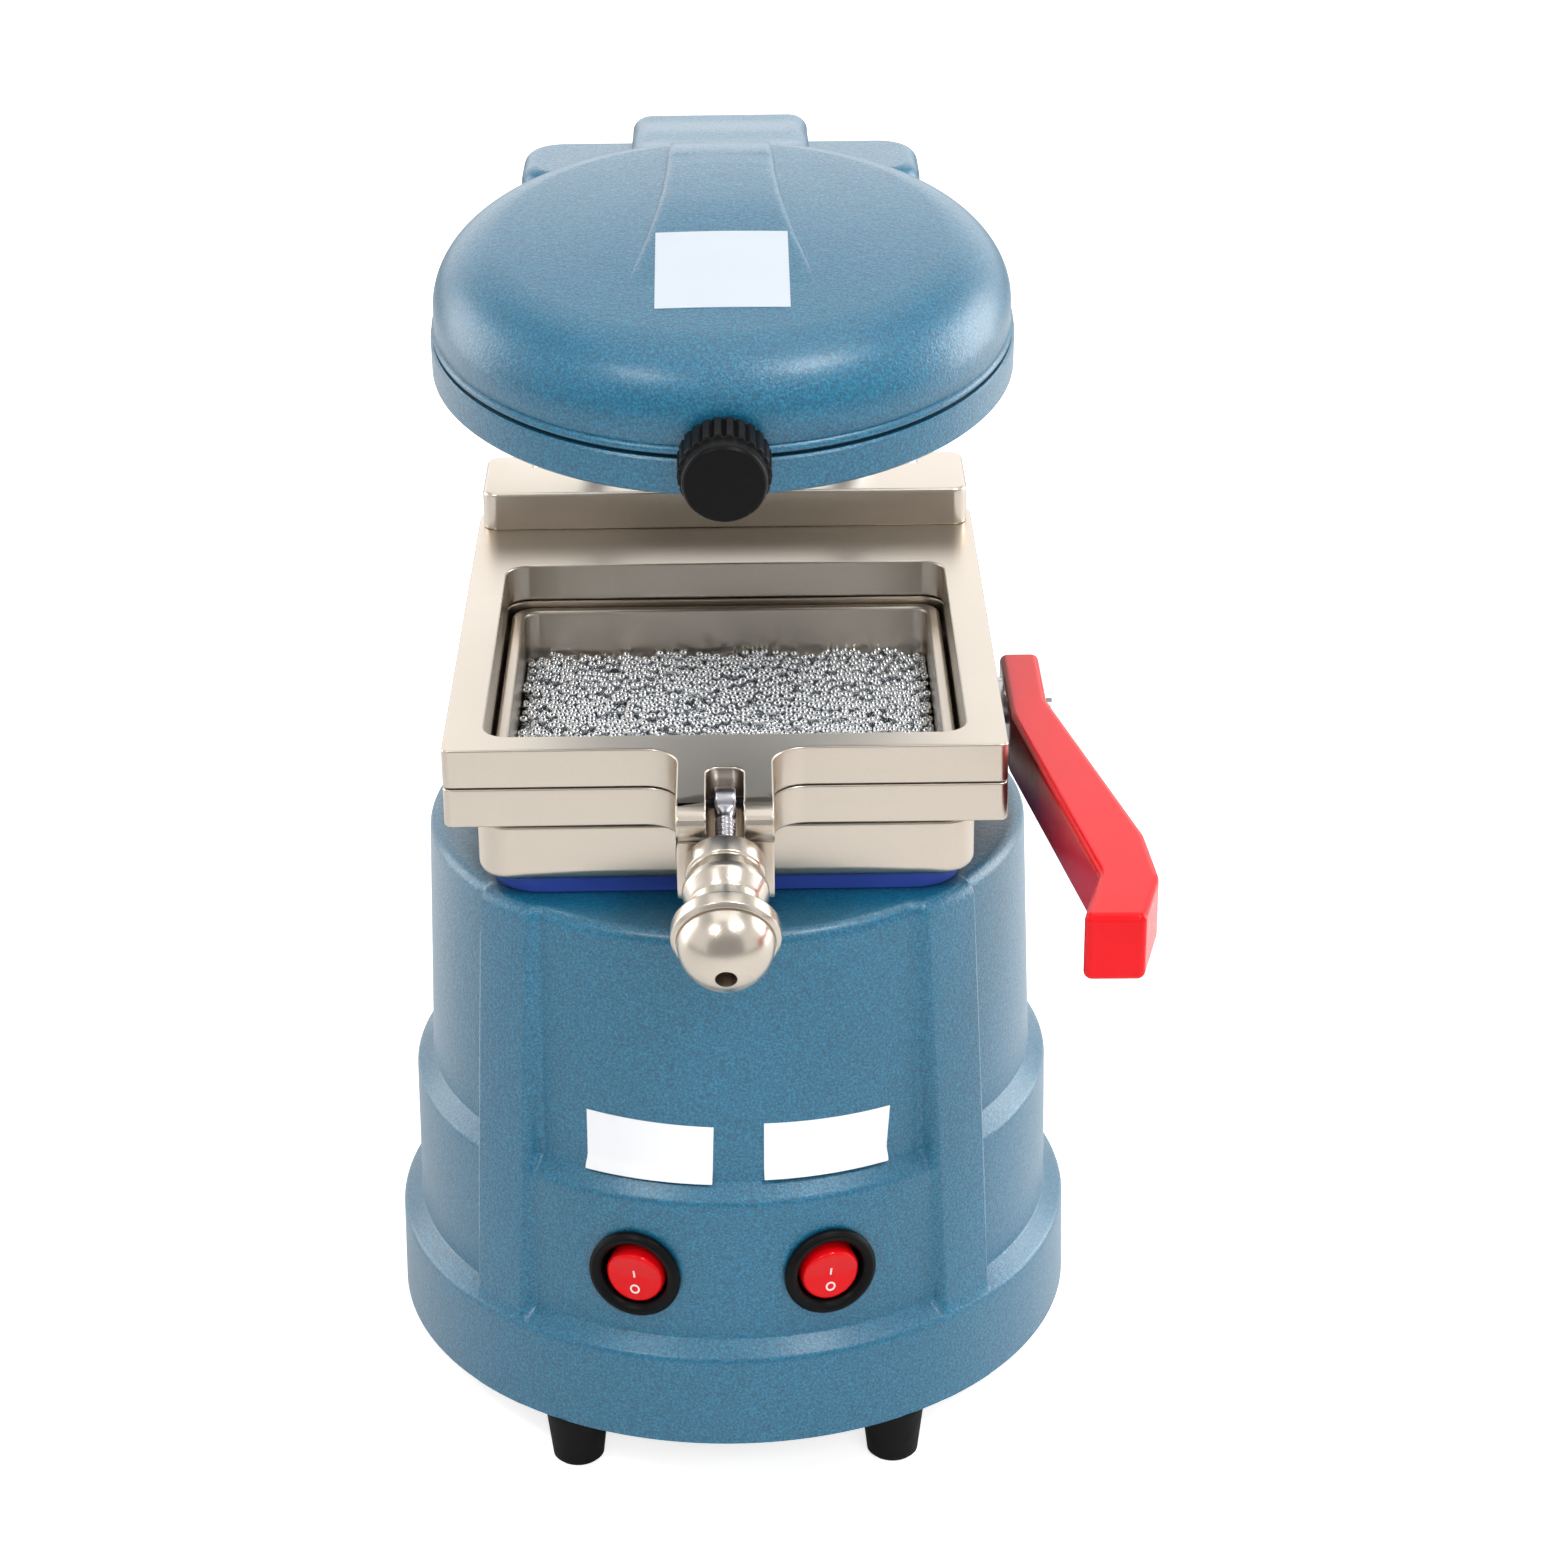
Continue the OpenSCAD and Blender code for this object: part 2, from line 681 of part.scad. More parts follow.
module swing_bolt() {
    color(steel) at_clamp() difference() {
        union() {
            rotate([0, 90, 0]) translate([0, 0, -eye_w / 2]) cylinder(d = eye_d, h = eye_w);
            cylinder(d = bolt_d, h = collar_reach + 24);
            cylinder(d1 = eye_w, d2 = bolt_d, h = eye_d / 2 + 7);
        }
        rotate([0, 90, 0]) translate([0, 0, -10]) cylinder(d = clamp_pin_d + 2 * run, h = 20);
    }
}

module clamp_knob() {
    ball_r = 11.3;
    ball_z = 25.3;
    r = collar_r;
    color(nickel) at_clamp() translate([0, 0, collar_reach])
        rotate_extrude($fn = 96) polygon(concat(
            [[bolt_d / 2 + run, 0], [r - 0.4, 0], [r, 0.4], [r, 4.6], [r - 0.4, 5]],
            [[8.8, 6.2]], arc(3.8, 10, 6, -22, 22, 5), [[8.5, 14.4], [8.5, 18.8], [11.8, 20.1]],
            [[12.7, 21], [12.7, 24], [11.8, ball_z], [ball_r + 0.2, ball_z]],
            arc(0, ball_z, ball_r, 0, 77.5, 10),
            [[ball_r * cos(77.5), ball_z + 2], [bolt_d / 2 + run, ball_z + 2]]));
}

// Handle

module handle() {
    x = handle_x;
    color(red) translate([0, 0, handle_z]) difference() {
        linear_extrude(handle_h) polygon(rounded([[x, 17, 2], [x, -22, 18], [x + 14, -110, 10],
            [x + 8.6, -132.4, 2], [x + 22.6, -132.6, 2], [x + 27.7, -112, 14],
            [x + 26.4, -90, 16], [x + handle_t, -12, 22], [x + handle_t, 17, 2]]));
        translate([x - 1, handle_bolt_y, handle_h / 2]) rotate([0, 90, 0])
            cylinder(d = 6, h = 30);
    }
}

module handle_spacer() {
    color(steel) translate([frame_w / 2, handle_bolt_y, handle_bolt_z])
        rotate([0, 90, 0]) difference() {
            cylinder(d = 12, h = handle_x - frame_w / 2);
            translate([0, 0, -1]) cylinder(d = 6, h = 10);
        }
}

module handle_bolt() {
    start = open_w / 2 + 1.2;
    reach = handle_x + handle_t - start;
    color(steel) translate([start, handle_bolt_y, handle_bolt_z])
        rotate([0, 90, 0]) {
            cylinder(d = 6, h = reach);
            translate([0, 0, reach]) difference() {
                cylinder(d = 10, h = 4);
                translate([0, 0, 2]) cylinder(d = 5, h = 3, $fn = 6);
            }
        }
}

// Heater head; at_head turns to its rest swing, in_dish to the leaning dish

module at_head() {
    translate([0, post_y, 0]) rotate([0, 0, rest_swing]) translate([0, -post_y, 0]) children();
}

module in_dish() {
    at_head() translate([0, heater_y, heater_z]) rotate([heater_tilt, 0, 0]) children();
}

// The stud is pressed into the hub and turns in the top block
module pivot_stud() {
    color(steel) translate([0, post_y, block_z - nut_h - gap])
        cylinder(d = stud_d, h = hub_z + stud_depth - block_z + nut_h + gap);
}

module pivot_nut() {
    color(steel) translate([0, post_y, block_z - nut_h - gap]) difference() {
        cylinder(d = 22, h = nut_h, $fn = 6);
        translate([0, 0, -1]) cylinder(d = stud_d, h = nut_h + 2);
    }
}

module thrust_washer() {
    color([0.72, 0.55, 0.32]) translate([0, post_y, block_top]) difference() {
        cylinder(d = 32, h = washer_h);
        translate([0, 0, -1]) cylinder(d = stud_d + 1, h = 4);
    }
}

// A point of the dish's own frame, v to the back and h up, as world Y and Z
function dish_yz(v, h) = [heater_y + v * cos(heater_tilt) - h * sin(heater_tilt),
    heater_z + v * sin(heater_tilt) + h * cos(heater_tilt)];

// Crest line of the ridge over the dome: it rises from the crown towards the back
function crest_yz(v) = dish_yz(v, heater_h - 1.8 * pow(v / (0.62 * dome_r), 2)
    + ridge_rise * min(1, (v - ridge_front) / 45) - 0.15);

// Arm and ridge: waisted in plan, crowned in side view, flaring into the hub
module arm_outside() {
    w = hub_w / 2;
    hub_front = hub_back - 26;
    top = hub_top + 1.4;
    waist_y = 42;
    end_y = dish_yz(ridge_front, heater_h)[0] - 6;
    back = crest_yz(46);
    flank = [for (i = [0:7]) let (t = i / 7)
            [waist + (w - waist) * pow(1 - t, 1.5), hub_front + t * (waist_y - hub_front)]];
    front = [for (i = [1:8]) let (t = i / 8)
            [waist + 11 * pow(t, 1.8), waist_y + t * (end_y - waist_y)]];
    half = concat([[w - 4, hub_back]], arc(w - 4, hub_back - 4, 4, 75, 0, 3), flank, front);
    intersection() {
        translate([0, 0, hub_z]) linear_extrude(60) polygon(concat(half,
            [for (i = [len(half) - 1:-1:0]) [-half[i][0], half[i][1]]]));
        side_slab(concat([[hub_back + 1, hub_z - 1], [hub_back + 1, hub_top - 2.6],
            [hub_back - 0.9, hub_top - 0.7], [hub_back - 3, hub_top], [hub_front, top]],
            [for (i = [1:9]) let (t = i / 10, s = t * t * (3 - 2 * t))
                [hub_front + (back[0] - hub_front) * t, top + (back[1] - top) * s]],
            [for (v = [46:-8:ridge_front]) crest_yz(v)],
            [[end_y - 1, hub_z - 1]]), 80);
    }
}

function dome_points(r, h) = concat([[0, h], [r * 0.35, h - 0.5], [r * 0.62, h - 1.8]],
    [for (a = [80:-10:0]) [r * 0.78 + r * 0.22 * cos(a), h - 19 + 16.4 * sin(a)]]);

module heater_housing() {
    color(blue) difference() {
        union() {
            in_dish() rotate_extrude($fn = 128) polygon(concat(dome_points(dome_r, heater_h),
                [[dome_r + 0.2, rim_h + 0.9], [dome_r - 0.6, rim_h + 0.9],
                [dome_r - 0.6, rim_h], [0, rim_h]]));
            difference() {
                at_head() arm_outside();
                in_dish() translate([0, 0, rim_h - 60]) cylinder(r = heater_r + 1, h = 60.3);
            }
        }
        in_dish() rotate_extrude($fn = 96) polygon(concat(
            dome_points(dome_r - dome_wall, heater_h - 4), [[dome_r - dome_wall, rim_h - 20],
            [0, rim_h - 20]]));
        translate([0, post_y, hub_z - 1]) cylinder(d = stud_d, h = stud_depth + 1);
        in_dish() translate([0, -dome_r + 12, knob_h]) rotate([90, 0, 0])
            cylinder(d = knob_stud_d, h = 30);
    }
}

module heater_rim() {
    r = heater_r;
    color(blue) in_dish() difference() {
        rotate_extrude($fn = 128) polygon([[r - 9, 0], [r - 0.8, 0], [r, 0.8], [r, rim_h - 0.5],
            [r - 0.5, rim_h], [r - 3.6, rim_h], [r - 3.6, 1.6], [r - 9, 1.6]]);
        rim_screw_holes(3, 4);
    }
}

function rim_screw_angles() = [45, 135, 225, 315];

module rim_screw_holes(d, h) {
    for (a = rim_screw_angles()) rotate([0, 0, a]) translate([heater_r - 6.3, 0, -1])
        cylinder(d = d, h = h);
}

module heater_rim_screws() {
    color(steel) in_dish() for (a = rim_screw_angles()) rotate([0, 0, a])
        translate([heater_r - 6.3, 0, 0]) pan_screw(3, 5, 1.4, 7);
}

// Polished dish that throws the heat down
module reflector() {
    r = heater_r - 3.9;
    color(steel) in_dish() difference() {
        rotate_extrude($fn = 96) polygon([[0, reflector_h], [46, reflector_h], [r - 7, 1.6],
            [r, 1.6], [r, 2.6], [r - 6.4, 2.6], [46.5, reflector_h + 1], [0, reflector_h + 1]]);
        rim_screw_holes(3, 6);
        for (p = insulator_points()) translate([p[0], p[1], reflector_h - 2])
            cylinder(d = 4, h = 6);
    }
}

function insulator_points() = [for (a = [0, 90, 180, 270]) [34 * cos(a), 34 * sin(a)]];

module heater_insulators() {
    color([0.92, 0.91, 0.87]) in_dish() for (p = insulator_points())
        translate([p[0], p[1], element_h + 2]) {
            cylinder(d = 8, h = reflector_h - element_h - 2);
            cylinder(d = 4, h = reflector_h - element_h + 1);
        }
}

// Heating coil: rings joined by a cross, hung under the insulators
module heating_element() {
    color([0.45, 0.42, 0.40]) in_dish() translate([0, 0, element_h]) {
        for (r = [14:8:46]) rotate_extrude($fn = 72) translate([r, 0]) circle(d = 3.2, $fn = 16);
        for (a = [0, 90]) rotate([0, 0, a]) translate([-47, -2, -0.5]) cube([94, 4, 2.5]);
    }
}

module knob_stud() {
    color(steel) in_dish() translate([0, -dome_r + 6, knob_h]) rotate([90, 0, 0])
        cylinder(d = knob_stud_d, h = 14);
}

module heater_knob() {
    color(black) in_dish() translate([0, -heater_r - 1, knob_h]) rotate([90, 0, 0]) difference() {
        union() {
            cylinder(d = 12, h = 3);
            translate([0, 0, 2]) cylinder(d = knob_d, h = 9);
            translate([0, 0, 11 - eps]) rotate_extrude() polygon(concat([[0, 0],
                [knob_d / 2 - 0.8, 0]], arc(knob_d / 2 - 3.3, 1.5, 2.5, 0, 90), [[0, 4]]));
        }
        for (i = [0:23]) rotate([0, 0, i * 15]) translate([knob_d / 2 + 0.35, 0, 1])
            cylinder(d = 1.9, h = 9.2, $fn = 16);
        translate([0, 0, -1]) cylinder(d = knob_stud_d, h = 8);
    }
}

base_housing();
base_plate();
base_plate_screws();
feet();
foot_screws();
chamber_gasket();
vacuum_chamber();
perforated_plate();
steel_balls();
chamber_seal();
chamber_screws();
vacuum_motor();
motor_ring();
air_duct();
motor_impeller();
left_switch_body();
left_rocker();
right_switch_body();
right_rocker();
power_inlet();
fuse_holder();
fuse_cap();
guide_posts();
top_block();
post_set_screws();
lower_frame();
guide_bushings();
handle();
handle_spacer();
handle_bolt();
hinge_pin();
upper_frame();
hinge_bar();
hinge_bar_screws();
clamp_pin();
swing_bolt();
clamp_knob();
thrust_washer();
pivot_stud();
pivot_nut();
heater_housing();
heater_rim();
heater_rim_screws();
reflector();
heater_insulators();
heating_element();
knob_stud();
heater_knob();
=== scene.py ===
import json
import math

import bmesh
import bpy
import numpy as np
from mathutils import Matrix, Vector
from mathutils.kdtree import KDTree

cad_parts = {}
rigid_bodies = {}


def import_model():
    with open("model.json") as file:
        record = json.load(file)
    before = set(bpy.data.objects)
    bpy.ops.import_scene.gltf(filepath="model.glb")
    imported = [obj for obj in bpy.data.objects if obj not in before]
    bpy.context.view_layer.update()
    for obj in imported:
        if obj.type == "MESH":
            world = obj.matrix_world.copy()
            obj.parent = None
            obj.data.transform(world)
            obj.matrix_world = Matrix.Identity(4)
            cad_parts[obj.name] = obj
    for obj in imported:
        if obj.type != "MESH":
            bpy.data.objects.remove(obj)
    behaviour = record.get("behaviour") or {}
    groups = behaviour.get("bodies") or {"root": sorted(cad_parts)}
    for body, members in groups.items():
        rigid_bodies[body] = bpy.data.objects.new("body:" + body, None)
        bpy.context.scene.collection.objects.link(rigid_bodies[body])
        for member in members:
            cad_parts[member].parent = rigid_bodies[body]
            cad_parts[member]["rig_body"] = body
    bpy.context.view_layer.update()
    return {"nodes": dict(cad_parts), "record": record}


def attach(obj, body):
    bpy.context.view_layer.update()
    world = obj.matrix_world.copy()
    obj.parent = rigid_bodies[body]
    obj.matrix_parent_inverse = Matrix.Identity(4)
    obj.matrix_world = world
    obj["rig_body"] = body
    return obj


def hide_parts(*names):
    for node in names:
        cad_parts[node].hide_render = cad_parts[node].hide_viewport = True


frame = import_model()
nodes = frame["nodes"]
scene = bpy.context.scene
MM = 0.001  # the tables and helpers below work in millimetres


# Materials

def linear(r, g, b):
    """A linear colour from 8-bit sRGB."""
    def one(c):
        c /= 255
        return c / 12.92 if c <= 0.04045 else ((c + 0.055) / 1.055) ** 2.4
    return (one(r), one(g), one(b), 1.0)


class Graph:
    """A material's node tree with short calls to add and join nodes."""

    def __init__(self, name):
        self.material = bpy.data.materials.new(name)
        self.material.use_nodes = True
        self.tree = self.material.node_tree
        self.bsdf = self.tree.nodes["Principled BSDF"]
        self.place = self.add("ShaderNodeTexCoord").outputs["Object"]

    def add(self, kind, **settings):
        node = self.tree.nodes.new(kind)
        for key, value in settings.items():
            setattr(node, key, value)
        return node

    def join(self, a, b):
        self.tree.links.new(a, b)

    def noise(self, scale, detail, rough, distortion=0.0):
        n = self.add("ShaderNodeTexNoise")
        n.inputs["Scale"].default_value = scale
        n.inputs["Detail"].default_value = detail
        n.inputs["Roughness"].default_value = rough
        n.inputs["Distortion"].default_value = distortion
        self.join(self.place, n.inputs["Vector"])
        return n.outputs["Fac"]

    def spread(self, value, low, high, from_low=0.3, from_high=0.7):
        m = self.add("ShaderNodeMapRange")
        m.inputs["From Min"].default_value = from_low
        m.inputs["From Max"].default_value = from_high
        m.inputs["To Min"].default_value = low
        m.inputs["To Max"].default_value = high
        self.join(value, m.inputs["Value"])
        return m.outputs["Result"]

    def mix(self, fac, a, b):
        m = self.add("ShaderNodeMix", data_type="RGBA")
        self.join(fac, m.inputs["Factor"])
        for socket, colour in ((m.inputs[6], a), (m.inputs[7], b)):
            if hasattr(colour, "links") or isinstance(colour, bpy.types.NodeSocket):
                self.join(colour, socket)
            else:
                socket.default_value = colour
        return m.outputs[2]

    def bump(self, height, strength, depth, before=None):
        b = self.add("ShaderNodeBump")
        b.inputs["Strength"].default_value = strength
        b.inputs["Distance"].default_value = depth
        self.join(height, b.inputs["Height"])
        if before is not None:
            self.join(before, b.inputs["Normal"])
        return b.outputs["Normal"]

    def painted_shade(self, distance, low, high, shaded_colour, plain):
        """Painted shade: darkens the plain colour towards a shade colour in creases and hollows,
        by ambient occlusion.
        """
        near = self.add("ShaderNodeAmbientOcclusion", samples=6)
        near.inputs["Distance"].default_value = distance
        return self.mix(self.spread(near.outputs["AO"], 0.0, 1.0, low, high), shaded_colour, plain)

    def finish(self, colour=None, rough=None, normal=None, **constants):
        for value, socket in ((colour, "Base Color"), (rough, "Roughness"), (normal, "Normal")):
            if value is not None:
                self.join(value, self.bsdf.inputs[socket])
        for key, value in constants.items():
            self.bsdf.inputs[key.replace("_", " ")].default_value = value
        return self.material


def shade(colour, factor):
    return tuple(c * factor for c in colour[:3]) + (1.0,)


def hammer_paint():
    g = Graph("hammer_paint")
    blue = linear(5, 95, 127)
    grain = g.noise(1700, 2, 0.6, distortion=0.5)
    fine = g.noise(2600, 2, 0.5)
    leather = g.noise(620, 2, 0.5, distortion=0.4)
    broad = g.noise(14, 3, 0.5)
    tint = g.mix(g.spread(broad, 0.0, 1.0), shade(blue, 0.96), shade(blue, 1.05))
    dark = g.mix(g.spread(grain, 1.0, 0.0, 0.36, 0.50), tint, shade(blue, 0.66))
    light = g.mix(g.spread(grain, 0.0, 0.36, 0.50, 0.66), dark, linear(40, 150, 186))
    # painted shade: the blue darkens in creases and under overhanging parts, by ambient occlusion
    colour = g.painted_shade(0.024, 0.08, 0.66, shade(blue, 0.22), light)
    rough = g.spread(grain, 0.40, 0.28)
    normal = g.bump(leather, 0.30, 0.0005)
    normal = g.bump(grain, 0.45, 0.0004, normal)
    normal = g.bump(fine, 0.2, 0.0002, normal)
    return g.finish(colour, rough, normal, Specular_IOR_Level=0.5, Coat_Weight=0.6,
                    Coat_Roughness=0.30)


def satin_metal(name, rgb, low, high, grain=0.02, spots=0.0):
    g = Graph(name)
    base = linear(*rgb)
    fine = g.noise(1500, 2, 0.5)
    broad = g.noise(22, 3, 0.5)
    tint = g.mix(g.spread(broad, 0.0, 1.0), shade(base, 0.97), shade(base, 1.02))
    tint = g.mix(g.spread(fine, 0.0, 0.3, 0.4, 0.75), tint, shade(base, 0.93 - spots))
    rough = g.spread(broad, low, high)
    normal = g.bump(fine, grain, 0.00003)
    return g.finish(tint, rough, normal, Metallic=1.0)


def moulded(name, rgb, low, high, grain=0.12, scale=1800, specular=0.2, speck=0.9, painted_shade=0):
    g = Graph(name)
    base = linear(*rgb)
    fine = g.noise(scale, 3, 0.55)
    broad = g.noise(45, 3, 0.5)
    tint = g.mix(g.spread(broad, 0.0, 1.0), shade(base, speck), shade(base, 2 - speck))
    # painted shade: given a reach, the colour darkens in creases and hollows by ambient occlusion
    if painted_shade:
        tint = g.painted_shade(painted_shade, 0.50, 0.86, shade(base, 0.14), tint)
    rough = g.spread(g.noise(260, 4, 0.6), low, high)
    normal = g.bump(fine, grain, 0.0001)
    return g.finish(tint, rough, normal, Specular_IOR_Level=specular)


def bright_metal(name, rgb, low, high):
    g = Graph(name)
    base = linear(*rgb)
    broad = g.noise(60, 3, 0.5)
    tint = g.mix(g.spread(broad, 0.0, 1.0), shade(base, 0.93), shade(base, 1.0))
    rough = g.spread(broad, low, high)
    normal = g.bump(g.noise(900, 2, 0.5), 0.02, 0.00002)
    return g.finish(tint, rough, normal, Metallic=1.0)


M = {
    "blue_paint": hammer_paint(),
    "nickel": satin_metal("satin_nickel", (205, 195, 182), 0.27, 0.33),
    "steel": satin_metal("screw_steel", (188, 188, 190), 0.22, 0.34),
    "bright_steel": bright_metal("bright_steel", (232, 235, 238), 0.05, 0.11),
    "black_plastic": moulded("black_plastic", (13, 13, 14), 0.34, 0.46, specular=0.10),
    "black_rubber": moulded("black_rubber", (19, 19, 19), 0.50, 0.65, 0.2, specular=0.1),
    "blue_rubber": moulded("blue_rubber", (48, 74, 160), 0.45, 0.60, 0.15),
    # the red handle gets painted shade on its inner side, by ambient occlusion
    "red_gloss": moulded("red_gloss", (224, 18, 26), 0.16, 0.24, 0.05, 600, 0.2, 0.96,
                         painted_shade=0.07),
    "red_lens": moulded("red_lens", (222, 10, 18), 0.10, 0.18, 0.03, 400, 0.2, 0.94),
    "bronze": satin_metal("bearing_bronze", (176, 134, 78), 0.3, 0.45),
    "motor_alu": satin_metal("cast_aluminium", (150, 152, 154), 0.4, 0.55, grain=0.4),
    "black_paint": moulded("black_paint", (26, 26, 27), 0.4, 0.55, 0.25, 900, 0.15),
    "ceramic": moulded("ceramic", (232, 228, 216), 0.35, 0.5, 0.05, specular=0.4),
    "element_metal": satin_metal("element_metal", (92, 84, 78), 0.45, 0.6, spots=0.2),
}
TURNED_NICKEL = satin_metal("turned_nickel", (206, 196, 183), 0.24, 0.29)
EYE_STEEL = satin_metal("eye_steel", (206, 204, 212), 0.24, 0.30)
# a pale blue for the painted highlight lines on the pilaster edges
PAINTED_EDGE_HIGHLIGHT = moulded("painted_edge_highlight", (150, 186, 204), 0.2, 0.3, 0.1, 900, 0.5)
DULL_STEEL = satin_metal("heated_steel", (126, 112, 98), 0.35, 0.5, spots=0.15)
MARK_WHITE = moulded("mark_white", (238, 232, 232), 0.3, 0.4, 0.02, 900, 0.2, 0.98)
DOME_LABEL = moulded("dome_label_film", (202, 210, 218), 0.30, 0.42, 0.03, 700, 0.25, 0.985)
LABEL_WHITE = moulded("label_film", (242, 244, 246), 0.30, 0.42, 0.03, 700, 0.25, 0.985)

slots = {s["node"]: s["material_slot"] for s in frame["record"]["subparts"]}
for name, obj in nodes.items():
    obj.data.materials.clear()
    obj.data.materials.append(M[slots[name]])
nodes["clamp_pin"].data.materials[0] = M["black_paint"]
nodes["reflector"].data.materials[0] = DULL_STEEL


# Helpers that make, finish and cut pieces

def body_name(node):
    return nodes[node]["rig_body"]


def linked(name, data):
    """A new object in the scene."""
    obj = bpy.data.objects.new(name, data)
    scene.collection.objects.link(obj)
    return obj


def add_piece(name, verts, faces, material, node=None, body=None, slot=None, sharp=40,
              flat=False):
    mesh = bpy.data.meshes.new(name)
    mesh.from_pydata([(x * MM, y * MM, z * MM) for x, y, z in verts], [], faces)
    return settle(linked(name, mesh), material, node, body, sharp, flat)


def settle(obj, material, node=None, body=None, sharp=40, flat=False):
    """Normals, smooth shading, material and body of a new piece."""
    bm = bmesh.new()
    bm.from_mesh(obj.data)
    bmesh.ops.remove_doubles(bm, verts=bm.verts, dist=1e-6)
    bmesh.ops.recalc_face_normals(bm, faces=bm.faces)
    bm.to_mesh(obj.data)
    bm.free()
    obj.data.materials.clear()
    obj.data.materials.append(material)
    obj.data.shade_smooth()
    obj.data.set_sharp_from_angle(angle=math.radians(sharp))
    if flat:
        even = obj.modifiers.new("even", "WEIGHTED_NORMAL")
        even.keep_sharp = True
        even.weight = 80
        apply_modifiers(obj)
    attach(obj, body or body_name(node))
    if node:
        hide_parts(node)
    return obj


def apply_modifiers(obj):
    depsgraph = bpy.context.evaluated_depsgraph_get()
    mesh = bpy.data.meshes.new_from_object(obj.evaluated_get(depsgraph))
    obj.modifiers.clear()
    obj.data = mesh


def soften(node, width, shape=None):
    """A piece with the node's shape and rounded edges."""
    obj = linked(node + "_soft", nodes[node].data.copy())
    bm = bmesh.new()
    bm.from_mesh(obj.data)
    bmesh.ops.remove_doubles(bm, verts=bm.verts, dist=2e-6)
    if shape:
        shape(bm)
    bmesh.ops.dissolve_limit(bm, angle_limit=math.radians(0.6), verts=bm.verts,
                             edges=bm.edges, use_dissolve_boundaries=False)
    bm.to_mesh(obj.data)
    bm.free()
    bevel = obj.modifiers.new("bevel", "BEVEL")
    bevel.width = width * MM
    bevel.segments = 3
    bevel.limit_method = "ANGLE"
    bevel.angle_limit = math.radians(30)
    bevel.use_clamp_overlap = False
    bevel.miter_outer = "MITER_ARC"
    apply_modifiers(obj)
    return settle(obj, M[slots[node]], node, sharp=35, flat=True)


BOX_QUADS = ((0, 1, 3, 2), (4, 6, 7, 5), (0, 4, 5, 1), (2, 3, 7, 6), (0, 2, 6, 4), (1, 5, 7, 3))


def box(x0, x1, y0, y1, z0, z1):
    return [(x, y, z) for x in (x0, x1) for y in (y0, y1) for z in (z0, z1)], BOX_QUADS


def subtract(piece, shapes):
    """Cuts closed shapes, each given as points and faces, out of a piece."""
    verts, faces = [], []
    for points, quads in shapes:
        faces += [tuple(i + len(verts) for i in q) for q in quads]
        verts += points
    mesh = bpy.data.meshes.new("cutter")
    mesh.from_pydata([(x * MM, y * MM, z * MM) for x, y, z in verts], [], faces)
    bm = bmesh.new()
    bm.from_mesh(mesh)
    bmesh.ops.recalc_face_normals(bm, faces=bm.faces)
    bm.to_mesh(mesh)
    bm.free()
    cutter = linked("cutter", mesh)
    cut = piece.modifiers.new("cut", "BOOLEAN")
    cut.operation = "DIFFERENCE"
    cut.solver = "EXACT"
    cut.object = cutter
    apply_modifiers(piece)
    piece.data.shade_smooth()
    piece.data.set_sharp_from_angle(angle=math.radians(50))
    bpy.data.objects.remove(cutter)


# Helpers that make outlines and shapes

def ring_faces(rings, count):
    """Quads between closed rings of count points each."""
    faces = []
    for low in range(0, (rings - 1) * count, count):
        for j in range(count):
            k = (j + 1) % count
            faces.append((low + j, low + k, low + count + k, low + count + j))
    return faces


def tube_faces(rings, count):
    """Quads between closed rings, with a flat end at the first and the last."""
    ends = [tuple(range(count)), tuple((rings - 1) * count + j for j in range(count))]
    return ring_faces(rings, count) + ends


def lathe(profile, count, place, wave=None):
    """Turns (radius, height) points round Z; wave changes a radius by height and angle."""
    verts = []
    for r, h in profile:
        for j in range(count):
            a = 2 * math.pi * j / count
            radius = wave(r, h, a) if wave else r
            verts.append(tuple(place @ Vector((radius * math.cos(a), radius * math.sin(a), h))))
    return verts, ring_faces(len(profile), count)


def arc(cx, cy, r, a0, a1, n):
    """Points on a circle from angle a0 to a1, in degrees."""
    return [(cx + r * math.cos(math.radians(a0 + (a1 - a0) * i / n)),
             cy + r * math.sin(math.radians(a0 + (a1 - a0) * i / n))) for i in range(n + 1)]


def filleted(points, n=5):
    """Rounds the inner points of an open profile; each is (x, y, radius)."""
    out = [points[0][:2]]
    for a, b, c in zip(points, points[1:], points[2:]):
        r = b[2]
        if r <= 0:
            out.append(b[:2])
            continue
        pa, pb, pc = Vector(a[:2]), Vector(b[:2]), Vector(c[:2])
        u, v = (pa - pb).normalized(), (pc - pb).normalized()
        half = math.acos(max(-1, min(1, u.dot(v)))) / 2
        reach = min(r / math.tan(half), 0.49 * (pa - pb).length, 0.49 * (pc - pb).length)
        r = reach * math.tan(half)
        centre = pb + (u + v).normalized() * (r / math.sin(half))
        start, stop = pb + u * reach - centre, pb + v * reach - centre
        turn = start.angle_signed(stop)
        for i in range(n + 1):
            t = -turn * i / n
            out.append((centre.x + start.x * math.cos(t) - start.y * math.sin(t),
                        centre.y + start.x * math.sin(t) + start.y * math.cos(t)))
    out.append(points[-1][:2])
    return out


def closed_fillet(points, n=6):
    """A closed outline with round corners; each point is (x, y, radius)."""
    out = []
    for i, point in enumerate(points):
        out += filleted([points[i - 1], point, points[(i + 1) % len(points)]], n)[1:-1]
    return out


def round_rect(x0, y0, x1, y1, r, n=8):
    """A rectangle with round corners, counterclockwise."""
    out = []
    for cx, cy, a in ((x1 - r, y1 - r, 0), (x0 + r, y1 - r, 90), (x0 + r, y0 + r, 180),
                      (x1 - r, y0 + r, 270)):
        out += arc(cx, cy, r, a, a + 90, n)
    return out


